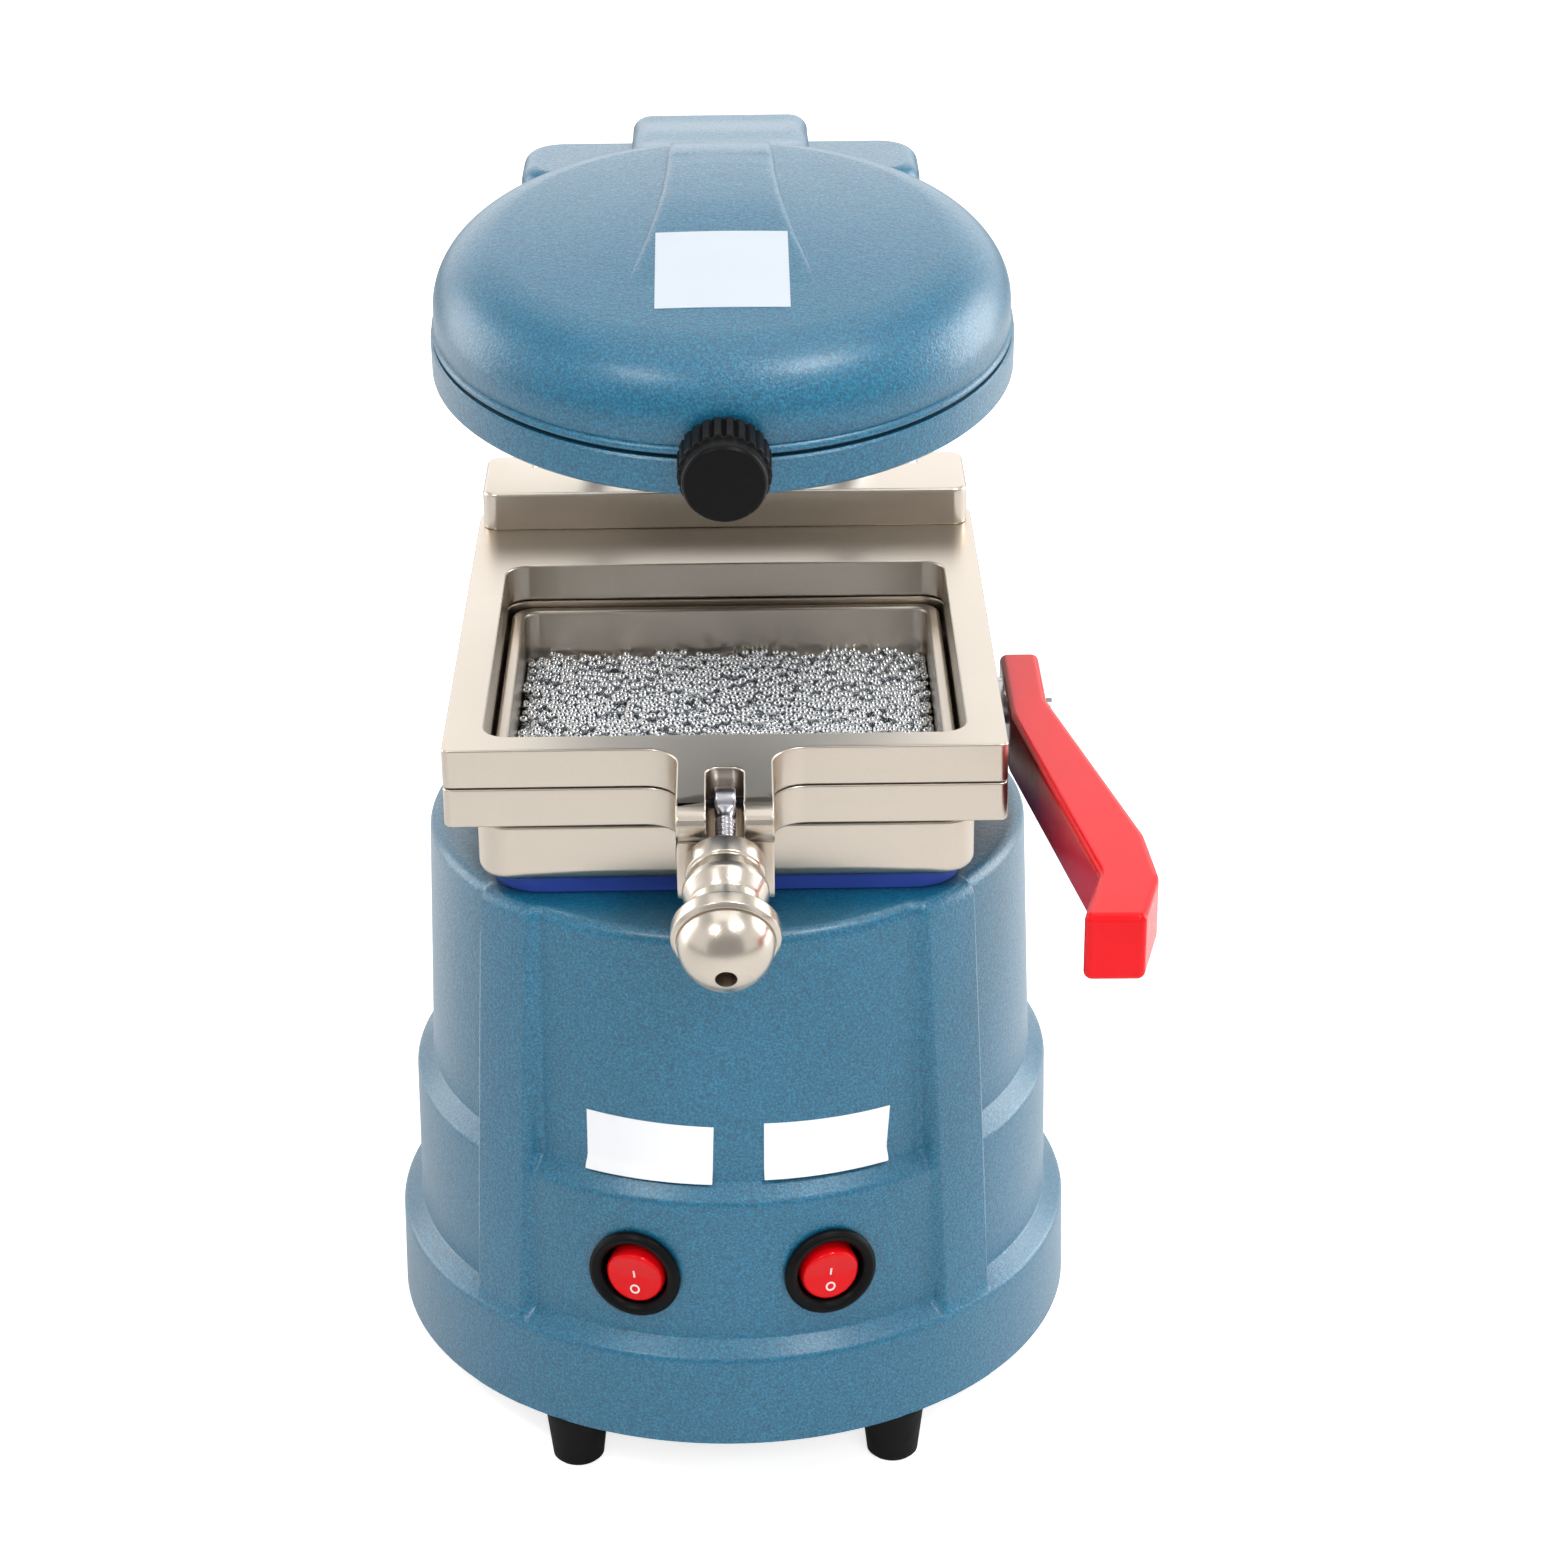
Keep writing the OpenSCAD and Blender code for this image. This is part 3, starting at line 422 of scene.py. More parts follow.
def inward(loop, amount):
    """The loop moved inward; the loop runs counterclockwise."""
    out = []
    for i, (x, y) in enumerate(loop):
        ax, ay = loop[i - 1]
        bx, by = loop[(i + 1) % len(loop)]
        u = Vector((x - ax, y - ay)).normalized()
        v = Vector((bx - x, by - y)).normalized()
        side = Vector((-u.y - v.y, u.x + v.x))
        side = side.normalized() / max(0.5, side.length / 2)
        out.append((x + side.x * amount, y + side.y * amount))
    return out


def stacked(name, rings, material, **more):
    """A piece from closed rings, each a list of points, with flat ends."""
    verts = [p for ring in rings for p in ring]
    return add_piece(name, verts, tube_faces(len(rings), len(rings[0])), material, **more)


def rounded_slab(name, loop, z0, z1, r_low, r_high, material, steps=5, **more):
    """An upright slab with an outline and rounded edges below and above."""
    rings = []
    for i in range(steps + 1):
        a = math.pi / 2 * i / steps
        rings.append([(x, y, z0 + r_low * (1 - math.cos(a)))
                      for x, y in inward(loop, r_low * (1 - math.sin(a)))])
    for i in range(steps + 1):
        a = math.pi / 2 * i / steps
        rings.append([(x, y, z1 - r_high * (1 - math.sin(a)))
                      for x, y in inward(loop, r_high * (1 - math.cos(a)))])
    return stacked(name, rings, material, flat=True, **more)


def smooth_step(t):
    """0 up to t = 0, 1 from t = 1, an even curve between."""
    t = max(0.0, min(1.0, t))
    return t * t * (3 - 2 * t)


def interpolate(table, x):
    """The value at x in a table of rising (x, value) pairs."""
    for (x0, y0), (x1, y1) in zip(table, table[1:]):
        if x <= x1:
            return y0 + (y1 - y0) * (x - x0) / (x1 - x0)
    return table[-1][1]


# Sizes shared with the CAD solids, in millimetres
FLANGE_R, MIDDLE_R, UPPER_R, DECK_R = 88.6, 83.5, 78.5, 76.3   # steps of the round base
RIM_Z, FLANGE_Z, STEP_Z, DECK_Z = 15.0, 39.7, 82.0, 152.0      # and their heights
REAR_X, REAR_Y0, REAR_Y1, REAR_CORNER = 56, 30, 158, 14        # box-shaped rear of the base
DECK_EDGE = 3.5
SWITCH_ANGLE, SWITCH_Z, SWITCH_R = 16.8, 60.2, 83.4
HEATER_Y, HEATER_Z, HEATER_R, HEATER_H, RIM_H = 5.0, 269.2, 71.0, 36.0, 9.3
POST_Y, HUB_Z, HUB_TOP = 134.0, 285.6, 293.6
TILT, SWING = math.radians(8), math.radians(0.3)               # the heater's lean and turn
CLAMP_Y, CLAMP_Z, DIP = -71.0, 184.65, math.radians(20.5)


# Base housing: rings of points round its outline, level by level

BASE_Y = 30  # the rings are drawn round (0, BASE_Y)
PILASTER_FOOT_R, PILASTER_TOP_R = 87.6, 78.5
PILASTER_INNER = 37.3  # degrees from the front
BLEND = 2.5  # hollow curve between the round and the box-shaped part


def pilaster(z):
    """Radius of a pilaster's face and the angle of its outer edge in degrees."""
    face = PILASTER_FOOT_R + (PILASTER_TOP_R - PILASTER_FOOT_R) * (z - (FLANGE_Z - 6)) / (
        DECK_Z - 5 - FLANGE_Z + 6)
    return face, 48.7 + 2.5 * ((z - RIM_Z - 20) / (DECK_Z - RIM_Z - 20))


def base_profile():
    """(height, radius) of the round part from the rim to the deck."""
    outer = filleted([(FLANGE_R + 0.4, RIM_Z, 0), (FLANGE_R - 0.1, FLANGE_Z - 0.6, 2.4),
                      (MIDDLE_R, FLANGE_Z + 3.2, 1.0), (MIDDLE_R - 0.6, STEP_Z - 1.0, 2.6),
                      (UPPER_R, STEP_Z + 3.2, 0.9), (DECK_R, DECK_Z - DECK_EDGE, 0)], 7)
    top = arc(DECK_R - DECK_EDGE, DECK_Z - DECK_EDGE, DECK_EDGE, 0, 88, 9)
    return [(z, r) for r, z in outer + top[1:]]


def rear_distance(x, y, inset):
    """Distance to the rear's outline, less than 0 inside it."""
    dx = abs(x) - (REAR_X - inset - REAR_CORNER)
    dy = abs(y - (REAR_Y0 + REAR_Y1) / 2) - ((REAR_Y1 - REAR_Y0) / 2 - inset - REAR_CORNER)
    return math.hypot(max(dx, 0), max(dy, 0)) + min(max(dx, dy), 0) - REAR_CORNER


def outline_radius(angle, z, table, inset):
    """How far the base reaches from (0, BASE_Y) in a direction."""
    r_round = interpolate(table, z)
    face, outer_edge = pilaster(z)
    sa, ca = math.sin(angle), math.cos(angle)

    def distance(r):
        x, y = r * sa, BASE_Y - r * ca
        reach = math.hypot(x, y)
        side = math.degrees(math.atan2(abs(x), -y))
        rise = max(0.0, face - inset - r_round)
        to_edge = (outer_edge - side) * math.pi / 180 * reach
        if 0 < to_edge < 1:  # a 1 mm round along the outer edge
            rise = max(0.0, rise - 1 + math.sqrt(1 - (1 - to_edge) ** 2))
        elif to_edge <= 0:  # and a steep side behind it
            rise = max(0.0, rise - 1) * max(0.0, 1 + to_edge / 0.35)
        rise *= smooth_step(((side - PILASTER_INNER) * math.pi / 180 * reach + 1.4) / 3.4)
        d1 = reach - r_round - rise
        d2 = rear_distance(x, y, inset)
        h = max(BLEND - abs(d1 - d2), 0.0) / BLEND
        return min(d1, d2) - h * h * BLEND / 4

    low, high = 20.0, 190.0
    for _ in range(26):
        middle = (low + high) / 2
        if distance(middle) < 0:
            low = middle
        else:
            high = middle
    return low


def spaced_angles(count, dense):
    """Angles round the base, closer together in the dense (from, to, weight) ranges."""
    steps = 3600
    weight = []
    for i in range(steps):
        a = abs((i * 360 / steps + 180) % 360 - 180)
        weight.append(max([w for lo, hi, w in dense if lo < a < hi] + [1.0]))
    share = sum(weight) / count
    run, goal, out = 0.0, 0.0, []
    for i, w in enumerate(weight):
        if run >= goal:
            out.append(math.radians(i * 360 / steps))
            goal += share
        run += w
    return out


def make_base():
    table = base_profile()
    between = {20, 25, 30, 34, 45, 48, 55, 62, 69, 76, 92, 100, 108, 116, 124, 132, 138, 143,
               146, 147.5}
    angles = spaced_angles(760, [(26.2, 29.2, 6.0), (34.9, 37.2, 16.0), (108, 127, 3.0),
                                 (150, 162, 3.0)])
    n = len(angles)
    verts = []
    for z in sorted(between.union(z for z, _ in table)):
        over = max(0.0, z - (DECK_Z - DECK_EDGE))
        inset = DECK_EDGE - math.sqrt(max(0.0, DECK_EDGE ** 2 - over ** 2))
        for a in angles:
            r = outline_radius(a, z, table, inset)
            verts.append((r * math.sin(a), BASE_Y - r * math.cos(a), z))

    def shrunk(ring, share, z):
        return [(x * share, BASE_Y + (y - BASE_Y) * share, z) for x, y, _ in ring]

    bottom, top = verts[:n], verts[-n:]
    for share in (0.97, 0.8, 0.4):
        verts += shrunk(top, share, DECK_Z)
    rings = len(verts) // n
    base = len(verts)
    verts += shrunk(bottom, 0.97, RIM_Z) + shrunk(bottom, 0.969, RIM_Z + 4)
    faces = ring_faces(rings, n)
    for low, high in ((0, base), (base, base + n)):
        faces += [(low + j, high + j, high + (j + 1) % n, low + (j + 1) % n) for j in range(n)]
    faces.append(tuple((rings - 1) * n + j for j in range(n)))
    faces.append(tuple(base + n + j for j in range(n)))
    cut_openings(add_piece("base_shell", verts, faces, M["blue_paint"], "base_housing", sharp=50))


def make_painted_edge_highlights():
    """Painted highlights on the outer edges of the two pilasters: thin pale tubes that stand in
    for the bright edge line.
    """
    low, high, parts, sides = 47, 147.2, 60, 8
    for name, side in (("left_pilaster_painted_highlight", -1), ("right_pilaster_painted_highlight", 1)):
        rings = []
        for i in range(parts + 1):
            z = low + (high - low) * i / parts
            face, outer_edge = pilaster(z)
            reach = face - 0.50
            a = math.radians(outer_edge) - 0.45 / reach
            r = 0.33 * min(1.0, 0.2 + min(i, parts - i) / 9)
            turn = Vector((math.sin(a) * side, -math.cos(a), 0))
            across = Vector((math.cos(a) * side, math.sin(a), 0))
            middle = turn * reach + Vector((0, 0, z))
            rings.append([tuple(middle + turn * r * math.cos(t) + across * r * math.sin(t))
                          for t in [2 * math.pi * k / sides for k in range(sides)]])
        stacked(name, rings, PAINTED_EDGE_HIGHLIGHT, body="base", slot="blue_paint", sharp=80)


def at_switch(side):
    return (Matrix.Rotation(side * math.radians(SWITCH_ANGLE), 4, "Z")
            @ Matrix.Translation((0, -SWITCH_R, SWITCH_Z)) @ Matrix.Rotation(math.pi / 2, 4, "X"))


def cut_openings(piece):
    """Cuts the holes for the two switches and the inlet."""
    shapes = []
    for side in (-1, 1):
        verts, _ = lathe([(9.6, -12), (9.6, 8)], 48, at_switch(side))
        shapes.append((verts, tube_faces(2, 48)))
    subtract(piece, shapes + [box(-29.8, -2.8, 140, 170, 41.2, 60.8)])


# Heater head

DOME_R = HEATER_R - 1


def head_matrix():
    """The heater head's small turn round its stud."""
    return (Matrix.Translation((0, POST_Y, 0)) @ Matrix.Rotation(SWING, 4, "Z")
            @ Matrix.Translation((0, -POST_Y, 0)))


def dish_matrix():
    """The leaning frame in which dome, rim and knob are round."""
    return (head_matrix() @ Matrix.Translation((0, HEATER_Y, HEATER_Z))
            @ Matrix.Rotation(TILT, 4, "X"))


def dome_curve(r_out, h_top, n=22):
    """Outer line of the dome as (radius, height), from the crown to the wall's foot."""
    out = [(0.01, h_top), (0.12 * r_out, h_top - 0.06), (0.24 * r_out, h_top - 0.25),
           (0.36 * r_out, h_top - 0.6), (0.48 * r_out, h_top - 1.15), (0.57 * r_out, h_top - 1.75)]
    cx, ry = 0.70 * r_out, 17.2
    for i in range(n + 1):
        a = math.radians(78 - 78 * i / n)
        out.append((cx + (r_out - cx) * math.cos(a), h_top - 19.4 + ry * math.sin(a)))
    return out


def dome_height(radius, table):
    """Height of the dome at a radius, far below outside it."""
    for (r0, h0), (r1, h1) in zip(table, table[1:]):
        if radius <= r1:
            return h0 + (h1 - h0) * (radius - r0) / max(1e-6, r1 - r0)
    return -1e3


def make_dome():
    outer = dome_curve(DOME_R, HEATER_H)
    foot = [(DOME_R + out, RIM_H + up) for out, up in (
        (0.05, 3.4), (-0.15, 3.1), (-0.2, 2.8), (0.35, 2.45), (0.62, 2.0), (0.66, 1.6),
        (0.5, 1.15), (-0.2, 0.9), (-0.9, 0.75), (-0.9, 0.05), (-2.9, 0.05))]
    inner = [(max(0.01, r - 2.7 * min(1, r / 30)), h - 3.2) for r, h in reversed(outer)]
    verts, faces = lathe(outer + foot + inner, 240, dish_matrix())
    add_piece("heater_dome", verts, faces, M["blue_paint"], "heater_housing", sharp=50)


def dome_surface(x, y, table):
    """World height of the leaning dome over a point, or None outside it."""
    cosine, sine = math.cos(TILT), math.sin(TILT)
    h = HEATER_H
    for _ in range(12):
        v = (y - HEATER_Y + h * sine) / cosine
        radius = math.hypot(x, v)
        if radius > DOME_R:
            return None
        h = dome_height(radius, table)
    return HEATER_Z + v * sine + h * cosine


ARM_START, ARM_END = 40.0, 112.0  # where the arm leaves the dome and reaches the hub
HUB_BULGE = 1.6
HUB_WIDENS, HUB_HALF = 94, 24
ARM_HALF = [(-36, 25.5), (-28, 23.0), (-18, 20.3), (-8, 18.0), (4, 16.0), (16, 14.6), (30, 13.6),
            (46, 13.2), (60, 13.4), (72, 14.2), (84, 15.8), (HUB_WIDENS, 17.2)]


def arm_half_width(y):
    """Half the width of the ridge, arm and hub at a world Y."""
    if y <= HUB_WIDENS:
        return interpolate(ARM_HALF, y)
    t = min(1.0, (y - HUB_WIDENS) / 15)
    return 17.2 + (HUB_HALF - 17.2) * math.sqrt(max(0.0, 1 - (1 - t) ** 2))


def arm_top(x, y, table):
    """World height of the ridge, arm and hub."""
    dome = dome_surface(x, y, table)
    rise = 2.2 * smooth_step((y + 38) / 50) - 0.12
    if y <= ARM_START and dome is not None:
        return dome + rise
    t = (y - ARM_START) / (ARM_END - ARM_START)
    if t >= 1:
        back_edge = 6 - math.sqrt(max(0.0, 36 - max(0.0, y - 142) ** 2))
        return HUB_TOP + HUB_BULGE - HUB_BULGE * smooth_step((y - 118) / 20) - back_edge
    step = 0.5
    base = dome_surface(x * 0.6, ARM_START, table) + rise
    slope = (dome_surface(0, ARM_START, table) - dome_surface(0, ARM_START - step, table)) / step
    h00 = 2 * t ** 3 - 3 * t ** 2 + 1
    h10 = t ** 3 - 2 * t ** 2 + t
    h01 = -2 * t ** 3 + 3 * t ** 2
    return h00 * base + h10 * (ARM_END - ARM_START) * slope + h01 * (HUB_TOP + HUB_BULGE)


def arm_section(y, table, samples=25, under=8):
    """The arm's outline at a world Y: over the top, down one side, back underneath."""
    w = arm_half_width(y)
    if y > 143:
        w -= 5 - math.sqrt(max(0.0, 25 - (y - 143) ** 2))
    edge = 2.2 + 2.8 * smooth_step((y - 98) / 8)
    row = []
    for i in range(samples):
        x = w * math.sin(math.pi / 2 * (2 * i / (samples - 1) - 1)) * 0.999
        z = arm_top(x, y, table)
        near = abs(x) - (w - edge)
        if near > 0:
            z -= (edge - math.sqrt(max(0.0, edge ** 2 - near ** 2))) * 0.85
        row.append((x, y, z))
    on_dome = y < 62
    at_side = dome_surface(w, y, table)
    if on_dome and at_side is not None:
        low = at_side - 1.0
    elif y < 78:
        low = max(HUB_Z, HEATER_Z + (y - HEATER_Y) / math.cos(TILT) * math.sin(TILT)
                  + (RIM_H + 0.5))
    else:
        low = HUB_Z
    low = min(low, row[-1][2] - 0.2)
    side = (row[-1][2] + low) / 2
    row.append((w, y, side))
    for i in range(under + 1):
        x = w - 2 * w * i / under
        dome = dome_surface(x, y, table)
        row.append((x, y, dome - 1.0 if on_dome and dome is not None else low))
    return row + [(-w, y, side)]


def make_arm():
    table = dome_curve(DOME_R, HEATER_H)
    ys = [-36 + 0.9 * i for i in range(145)]
    ys += [HUB_WIDENS + 0.5 * i for i in range(1, 30)] + [109 + 1.5 * i for i in range(22)]
    ys += [142 + 0.5 * i for i in range(13)]
    ys = sorted({round(y, 3) for y in ys if y <= 148})
    place = head_matrix()
    rings = [[tuple(place @ Vector(v)) for v in arm_section(y, table)] for y in ys]
    piece = stacked("heater_arm", rings, M["blue_paint"], body="heater_head", slot="blue_paint",
                    sharp=60)
    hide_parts("heater_housing")


def make_heater_knob():
    place = dish_matrix() @ Matrix.Translation((0, -HEATER_R - 1, 11.5)) @ Matrix.Rotation(
        math.pi / 2, 4, "X")
    grip = 10.75
    profile = filleted([(0.01, 0, 0), (6, 0, 0.3), (6, 1.6, 0.3), (grip, 1.6, 0.7),
                        (grip, 10.6, 0.8), (9.75, 11.2, 0.2), (9.75, 14.1, 1.3),
                        (9.0, 15.0, 0.4), (0.01, 15.15, 0)], 6)

    def flutes(radius, h, a):
        if not 1.5 < h < 10.9 or radius < 9:
            return radius
        depth = 0.95 * min(1, (h - 1.5) / 0.6, (10.9 - h) / 0.5)
        return radius - depth * max(0.0, math.cos(24 * a)) ** 1.5

    dense = []
    for (r0, h0), (r1, h1) in zip(profile, profile[1:]):
        parts = max(1, int(abs(h1 - h0) / 0.8)) if r0 > 9 and r1 > 9 else 1
        dense += [(r0 + (r1 - r0) * i / parts, h0 + (h1 - h0) * i / parts) for i in range(parts)]
    dense.append(profile[-1])
    verts, faces = lathe(dense, 288, place, flutes)
    add_piece("heater_knob_moulding", verts, faces, M["black_plastic"], "heater_knob", sharp=50)


# Clamp: turned knob, and an eye bolt with a thread

def at_clamp():
    """The clamp's frame: Z runs along the bolt from the middle of the pin."""
    return Matrix.Translation((0, CLAMP_Y, CLAMP_Z)) @ Matrix.Rotation(math.pi / 2 + DIP, 4, "X")


def make_clamp_knob():
    collar, ball_r, ball_h, bore_r = 19.2, 11.3, 25.3, 2.45
    profile = [(2.6, 0.3), (3.0, 0)] + filleted(
        [(3.2, 0, 0), (9.4, 0, 0.5), (9.4, 4.9, 0.6), (8.95, 5.5, 0.3), (10.0, 8.9, 1.5),
         (10.15, 10.5, 2.0), (8.9, 13.8, 1.5), (8.5, 14.6, 0.5), (8.5, 18.6, 1.0),
         (11.6, 19.9, 0.6), (12.7, 20.8, 0.8), (12.7, 24.2, 0.7), (11.9, 25.2, 0.3),
         (11.45, 25.2, 0.15), (11.35, 24.9, 0.1), (ball_r, ball_h, 0)], 5)
    profile += [(ball_r * math.cos(math.radians(a)), ball_h + ball_r * math.sin(math.radians(a)))
                for a in range(2, 78, 3)]
    profile += [(bore_r + 0.1, 36.2), (bore_r, 35.9), (bore_r, 16.0), (0.01, 16.0)]
    verts, faces = lathe(profile, 128, at_clamp() @ Matrix.Translation((0, 0, collar)))
    add_piece("clamp_knob_turned", verts, faces, TURNED_NICKEL, "clamp_knob", sharp=38)


def make_eye_bolt():
    count, pitch = 40, 1.3
    start, stop = 6.4, 24.0
    rows = int((stop - start) / pitch * 10)
    verts = []
    for i in range(rows + 1):
        h = start + (stop - start) * i / rows
        for j in range(count):
            a = 2 * math.pi * j / count
            phase = (h / pitch - j / count) % 1.0
            r = 2.48 - 0.42 * abs(2 * phase - 1)
            verts.append((r * math.cos(a), r * math.sin(a), h))
    faces = tube_faces(rows + 1, count)
    base, parts, eye_r = len(verts), 44, 3.9
    for i in range(parts + 1):
        h = 0.02 - eye_r + 10.7 * i / parts
        disc = math.sqrt(max(0.05, eye_r ** 2 - min(abs(h), eye_r) ** 2))
        t = smooth_step((h - 2.2) / 3.2)  # from the flat eye to the round neck
        wide = 2.6 - (0.3 * (-h / eye_r) ** 6 if h < 0 else 0)
        wide += (2.1 - wide) * t
        tall = disc if h < 0 else max(disc, 2.5 - 0.4 * t)
        power = 0.2 + 0.8 * smooth_step((h - 2.4) / 3)
        for j in range(count):
            a = 2 * math.pi * j / count
            x, y = math.cos(a), math.sin(a)
            verts.append((wide * math.copysign(abs(x) ** power, x),
                          tall * math.copysign(abs(y) ** power, y), h))
    faces += [tuple(base + i for i in q) for q in tube_faces(parts + 1, count)]
    verts = [tuple(at_clamp() @ Vector(v)) for v in verts]
    add_piece("eye_bolt", verts, faces, EYE_STEEL, "swing_bolt", sharp=55)


# Switches: bezel, rocker and its plain I and O

def make_bezel(name, place):
    profile = filleted([(8.6, -8.9, 0), (8.6, 0.9, 0.3), (9.0, 1.5, 0.3), (9.6, 2.1, 0.7),
                        (10.6, 2.4, 1.0), (11.8, 1.2, 0.9), (11.8, 0.02, 0.2), (9.95, 0.02, 0.1),
                        (9.95, -14.9, 0)], 5)
    verts, _ = lathe(profile, 96, place)
    add_piece(name + "_bezel", verts, tube_faces(len(profile), 96), M["black_plastic"],
              name + "_switch_body", sharp=45)


def rocker_face(y):
    """Height of the rocker's hollow face."""
    return 3.9 + 1.25 * (abs(y) / 7.5) ** 1.3


def make_rocker(name, place):
    rings, count, r_out = 26, 72, 7.45
    verts = []
    for i in range(rings + 1):
        r = r_out * (i / rings)
        near = max(0.0, r - (r_out - 1.0))
        for j in range(count):
            a = 2 * math.pi * j / count
            x, y = r * math.cos(a), r * math.sin(a)
            verts.append((x, y, rocker_face(y) - (1.0 - math.sqrt(max(0.0, 1 - near * near)))))
    for z in (2.0, -2.6):
        verts += [(r_out * math.cos(2 * math.pi * j / count),
                   r_out * math.sin(2 * math.pi * j / count), z) for j in range(count)]
    faces = ring_faces(rings + 3, count)
    faces.append(tuple((rings + 2) * count + j for j in range(count)))
    verts = [tuple(place @ Vector(v)) for v in verts]
    add_piece(name + "_rocker_lens", verts, faces, M["red_lens"], name + "_rocker", sharp=50)


def make_marks(name, place):
    half, ring_r, ring_y, bar_y, bar_h = 0.21, 1.05, -3.7, 0.9, 2.3
    verts, faces = [], []

    def add_band(rows, closed):
        """Joins rows of four points, round in a loop or with ends."""
        base = len(verts)
        for row in rows:
            verts.extend(row)
        for k in range(len(rows) if closed else len(rows) - 1):
            a, b = base + k * 4, base + (k + 1) % len(rows) * 4
            faces.extend((a + m, b + m, b + (m + 1) % 4, a + (m + 1) % 4) for m in range(4))
        if not closed:
            faces.extend(tuple(end + m for m in range(4)) for end in (base, len(verts) - 4))

    def corners(high):
        return (-half, -0.01), (-half, high), (half, high), (half, -0.01)

    ring = []
    for k in range(40):
        a = 2 * math.pi * k / 40
        row = [((ring_r + off) * math.cos(a), ring_y + (ring_r + off) * math.sin(a), lift)
               for off, lift in corners(0.08)]
        ring.append([(x, y, rocker_face(y) + lift) for x, y, lift in row])
    add_band(ring, True)
    bar = [bar_y - bar_h / 2 + bar_h * k / 8 for k in range(9)]
    add_band([[(x, y, rocker_face(y) + lift) for x, lift in corners(0.09)] for y in bar], False)
    verts = [tuple(place @ Vector(v)) for v in verts]
    add_piece(name + "_rocker_marks", verts, faces, MARK_WHITE,
              body=body_name(name + "_rocker"), slot="red_lens", sharp=30)


def make_switch(name, side):
    place = at_switch(side)
    tilted = place @ (Matrix.Translation((0, 0, -3)) @ Matrix.Rotation(math.radians(10), 4, "X"))
    make_bezel(name, place)
    make_rocker(name, tilted)
    make_marks(name, tilted)


# Steel balls: dropped in at random, then pushed apart and pressed down until they rest

def make_balls():
    rng = np.random.default_rng(11)
    r, count, on_top = 1.15, 3900, 2300
    x1, y0, y1, z0 = 53.8, -42.9, 59.2, 165.1  # the inside of the tray
    p = np.column_stack([rng.uniform(-x1 + r, x1 - r, count), rng.uniform(y0 + r, y1 - r, count),
                         z0 + r + rng.uniform(0, 4.4, count)])
    for step in range(60):
        p[:, 2] -= 0.10 if step < 48 else 0.02
        tree = KDTree(count)
        for i, q in enumerate(p):
            tree.insert(q, i)
        tree.balance()
        push = np.zeros_like(p)
        for i, q in enumerate(p):
            for co, j, d in tree.find_range(q, 2 * r):
                if j > i and d > 1e-6:
                    v = (q - np.array(co)) / d * (2 * r - d) * 0.42
                    push[i] += v
                    push[j] -= v
        p += push
        for axis, low, high in ((0, -x1 + r, x1 - r), (1, y0 + r, y1 - r), (2, z0 + r, z0 + 8)):
            p[:, axis] = np.clip(p[:, axis], low, high)
    order = np.argsort(-p[:, 2])
    for name, chosen, detail in (("steel_balls_top", order[:on_top], 2),
                                 ("steel_balls_under", order[on_top:], 1)):
        bm = bmesh.new()
        bmesh.ops.create_icosphere(bm, subdivisions=detail, radius=r)
        base_v = np.array([v.co for v in bm.verts])
        base_f = [tuple(v.index for v in f.verts) for f in bm.faces]
        bm.free()
        verts, faces = [], []
        for i in chosen:
            turn = Matrix.Rotation(rng.uniform(0, 6.28), 3, "Z") @ Matrix.Rotation(
                rng.uniform(0, 6.28), 3, "X")
            start = len(verts)
            verts += [tuple(q) for q in base_v @ np.array(turn).T + p[i]]
            faces += [tuple(start + k for k in f) for f in base_f]
        obj = add_piece(name, verts, faces, M["bright_steel"], body="base", slot="bright_steel",
                        sharp=180)
        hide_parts("steel_balls")


# Blank labels

def curved_label(name, film, body, surface):
    """A thin label laid on a surface; surface(u, v) gives a point and the normal there."""
    nu, nv = 26, 18
    verts, faces = [], []
    for height in (0.02, 0.16):
        for i in range(nu + 1):
            for j in range(nv + 1):
                p, n = surface(i / nu, j / nv)
                verts.append(tuple(p + n * height))
    row = nv + 1
    size = (nu + 1) * row
    for i in range(nu):
        for j in range(nv):
            a = i * row + j
            faces.append((a, a + 1, a + row + 1, a + row))
            faces.append((size + a, size + a + row, size + a + row + 1, size + a + 1))
    rim = [i * row for i in range(nu + 1)] + [nu * row + j for j in range(1, nv + 1)]
    rim += [i * row + nv for i in range(nu - 1, -1, -1)] + [j for j in range(nv - 1, 0, -1)]
    for a, b in zip(rim, rim[1:] + rim[:1]):
        faces.append((a, b, size + b, size + a))
    add_piece(name, verts, faces, film, body=body, slot="ceramic", sharp=30)


def switch_label(name, top_left, top_right, bottom_left, bottom_right):
    """A label over a switch; its lower edge reaches onto the step under it."""
    def surface(u, v):
        top = Vector(top_left).lerp(Vector(top_right), u)
        bottom = Vector(bottom_left).lerp(Vector(bottom_right), u)
        q = bottom.lerp(top, v)
        if q.z > 89:
            radius = 78.4 - (q.z - 89) * 0.036
        else:
            radius = 79.9 + (78.35 - 79.9) * smooth_step((q.z - 85.4) / 4.0)
        a = math.atan2(q.x, -q.y)
        out = Vector((math.sin(a), -math.cos(a), 0))
        return Vector((radius * out.x, radius * out.y, q.z)), out

    curved_label(name, LABEL_WHITE, "base", surface)


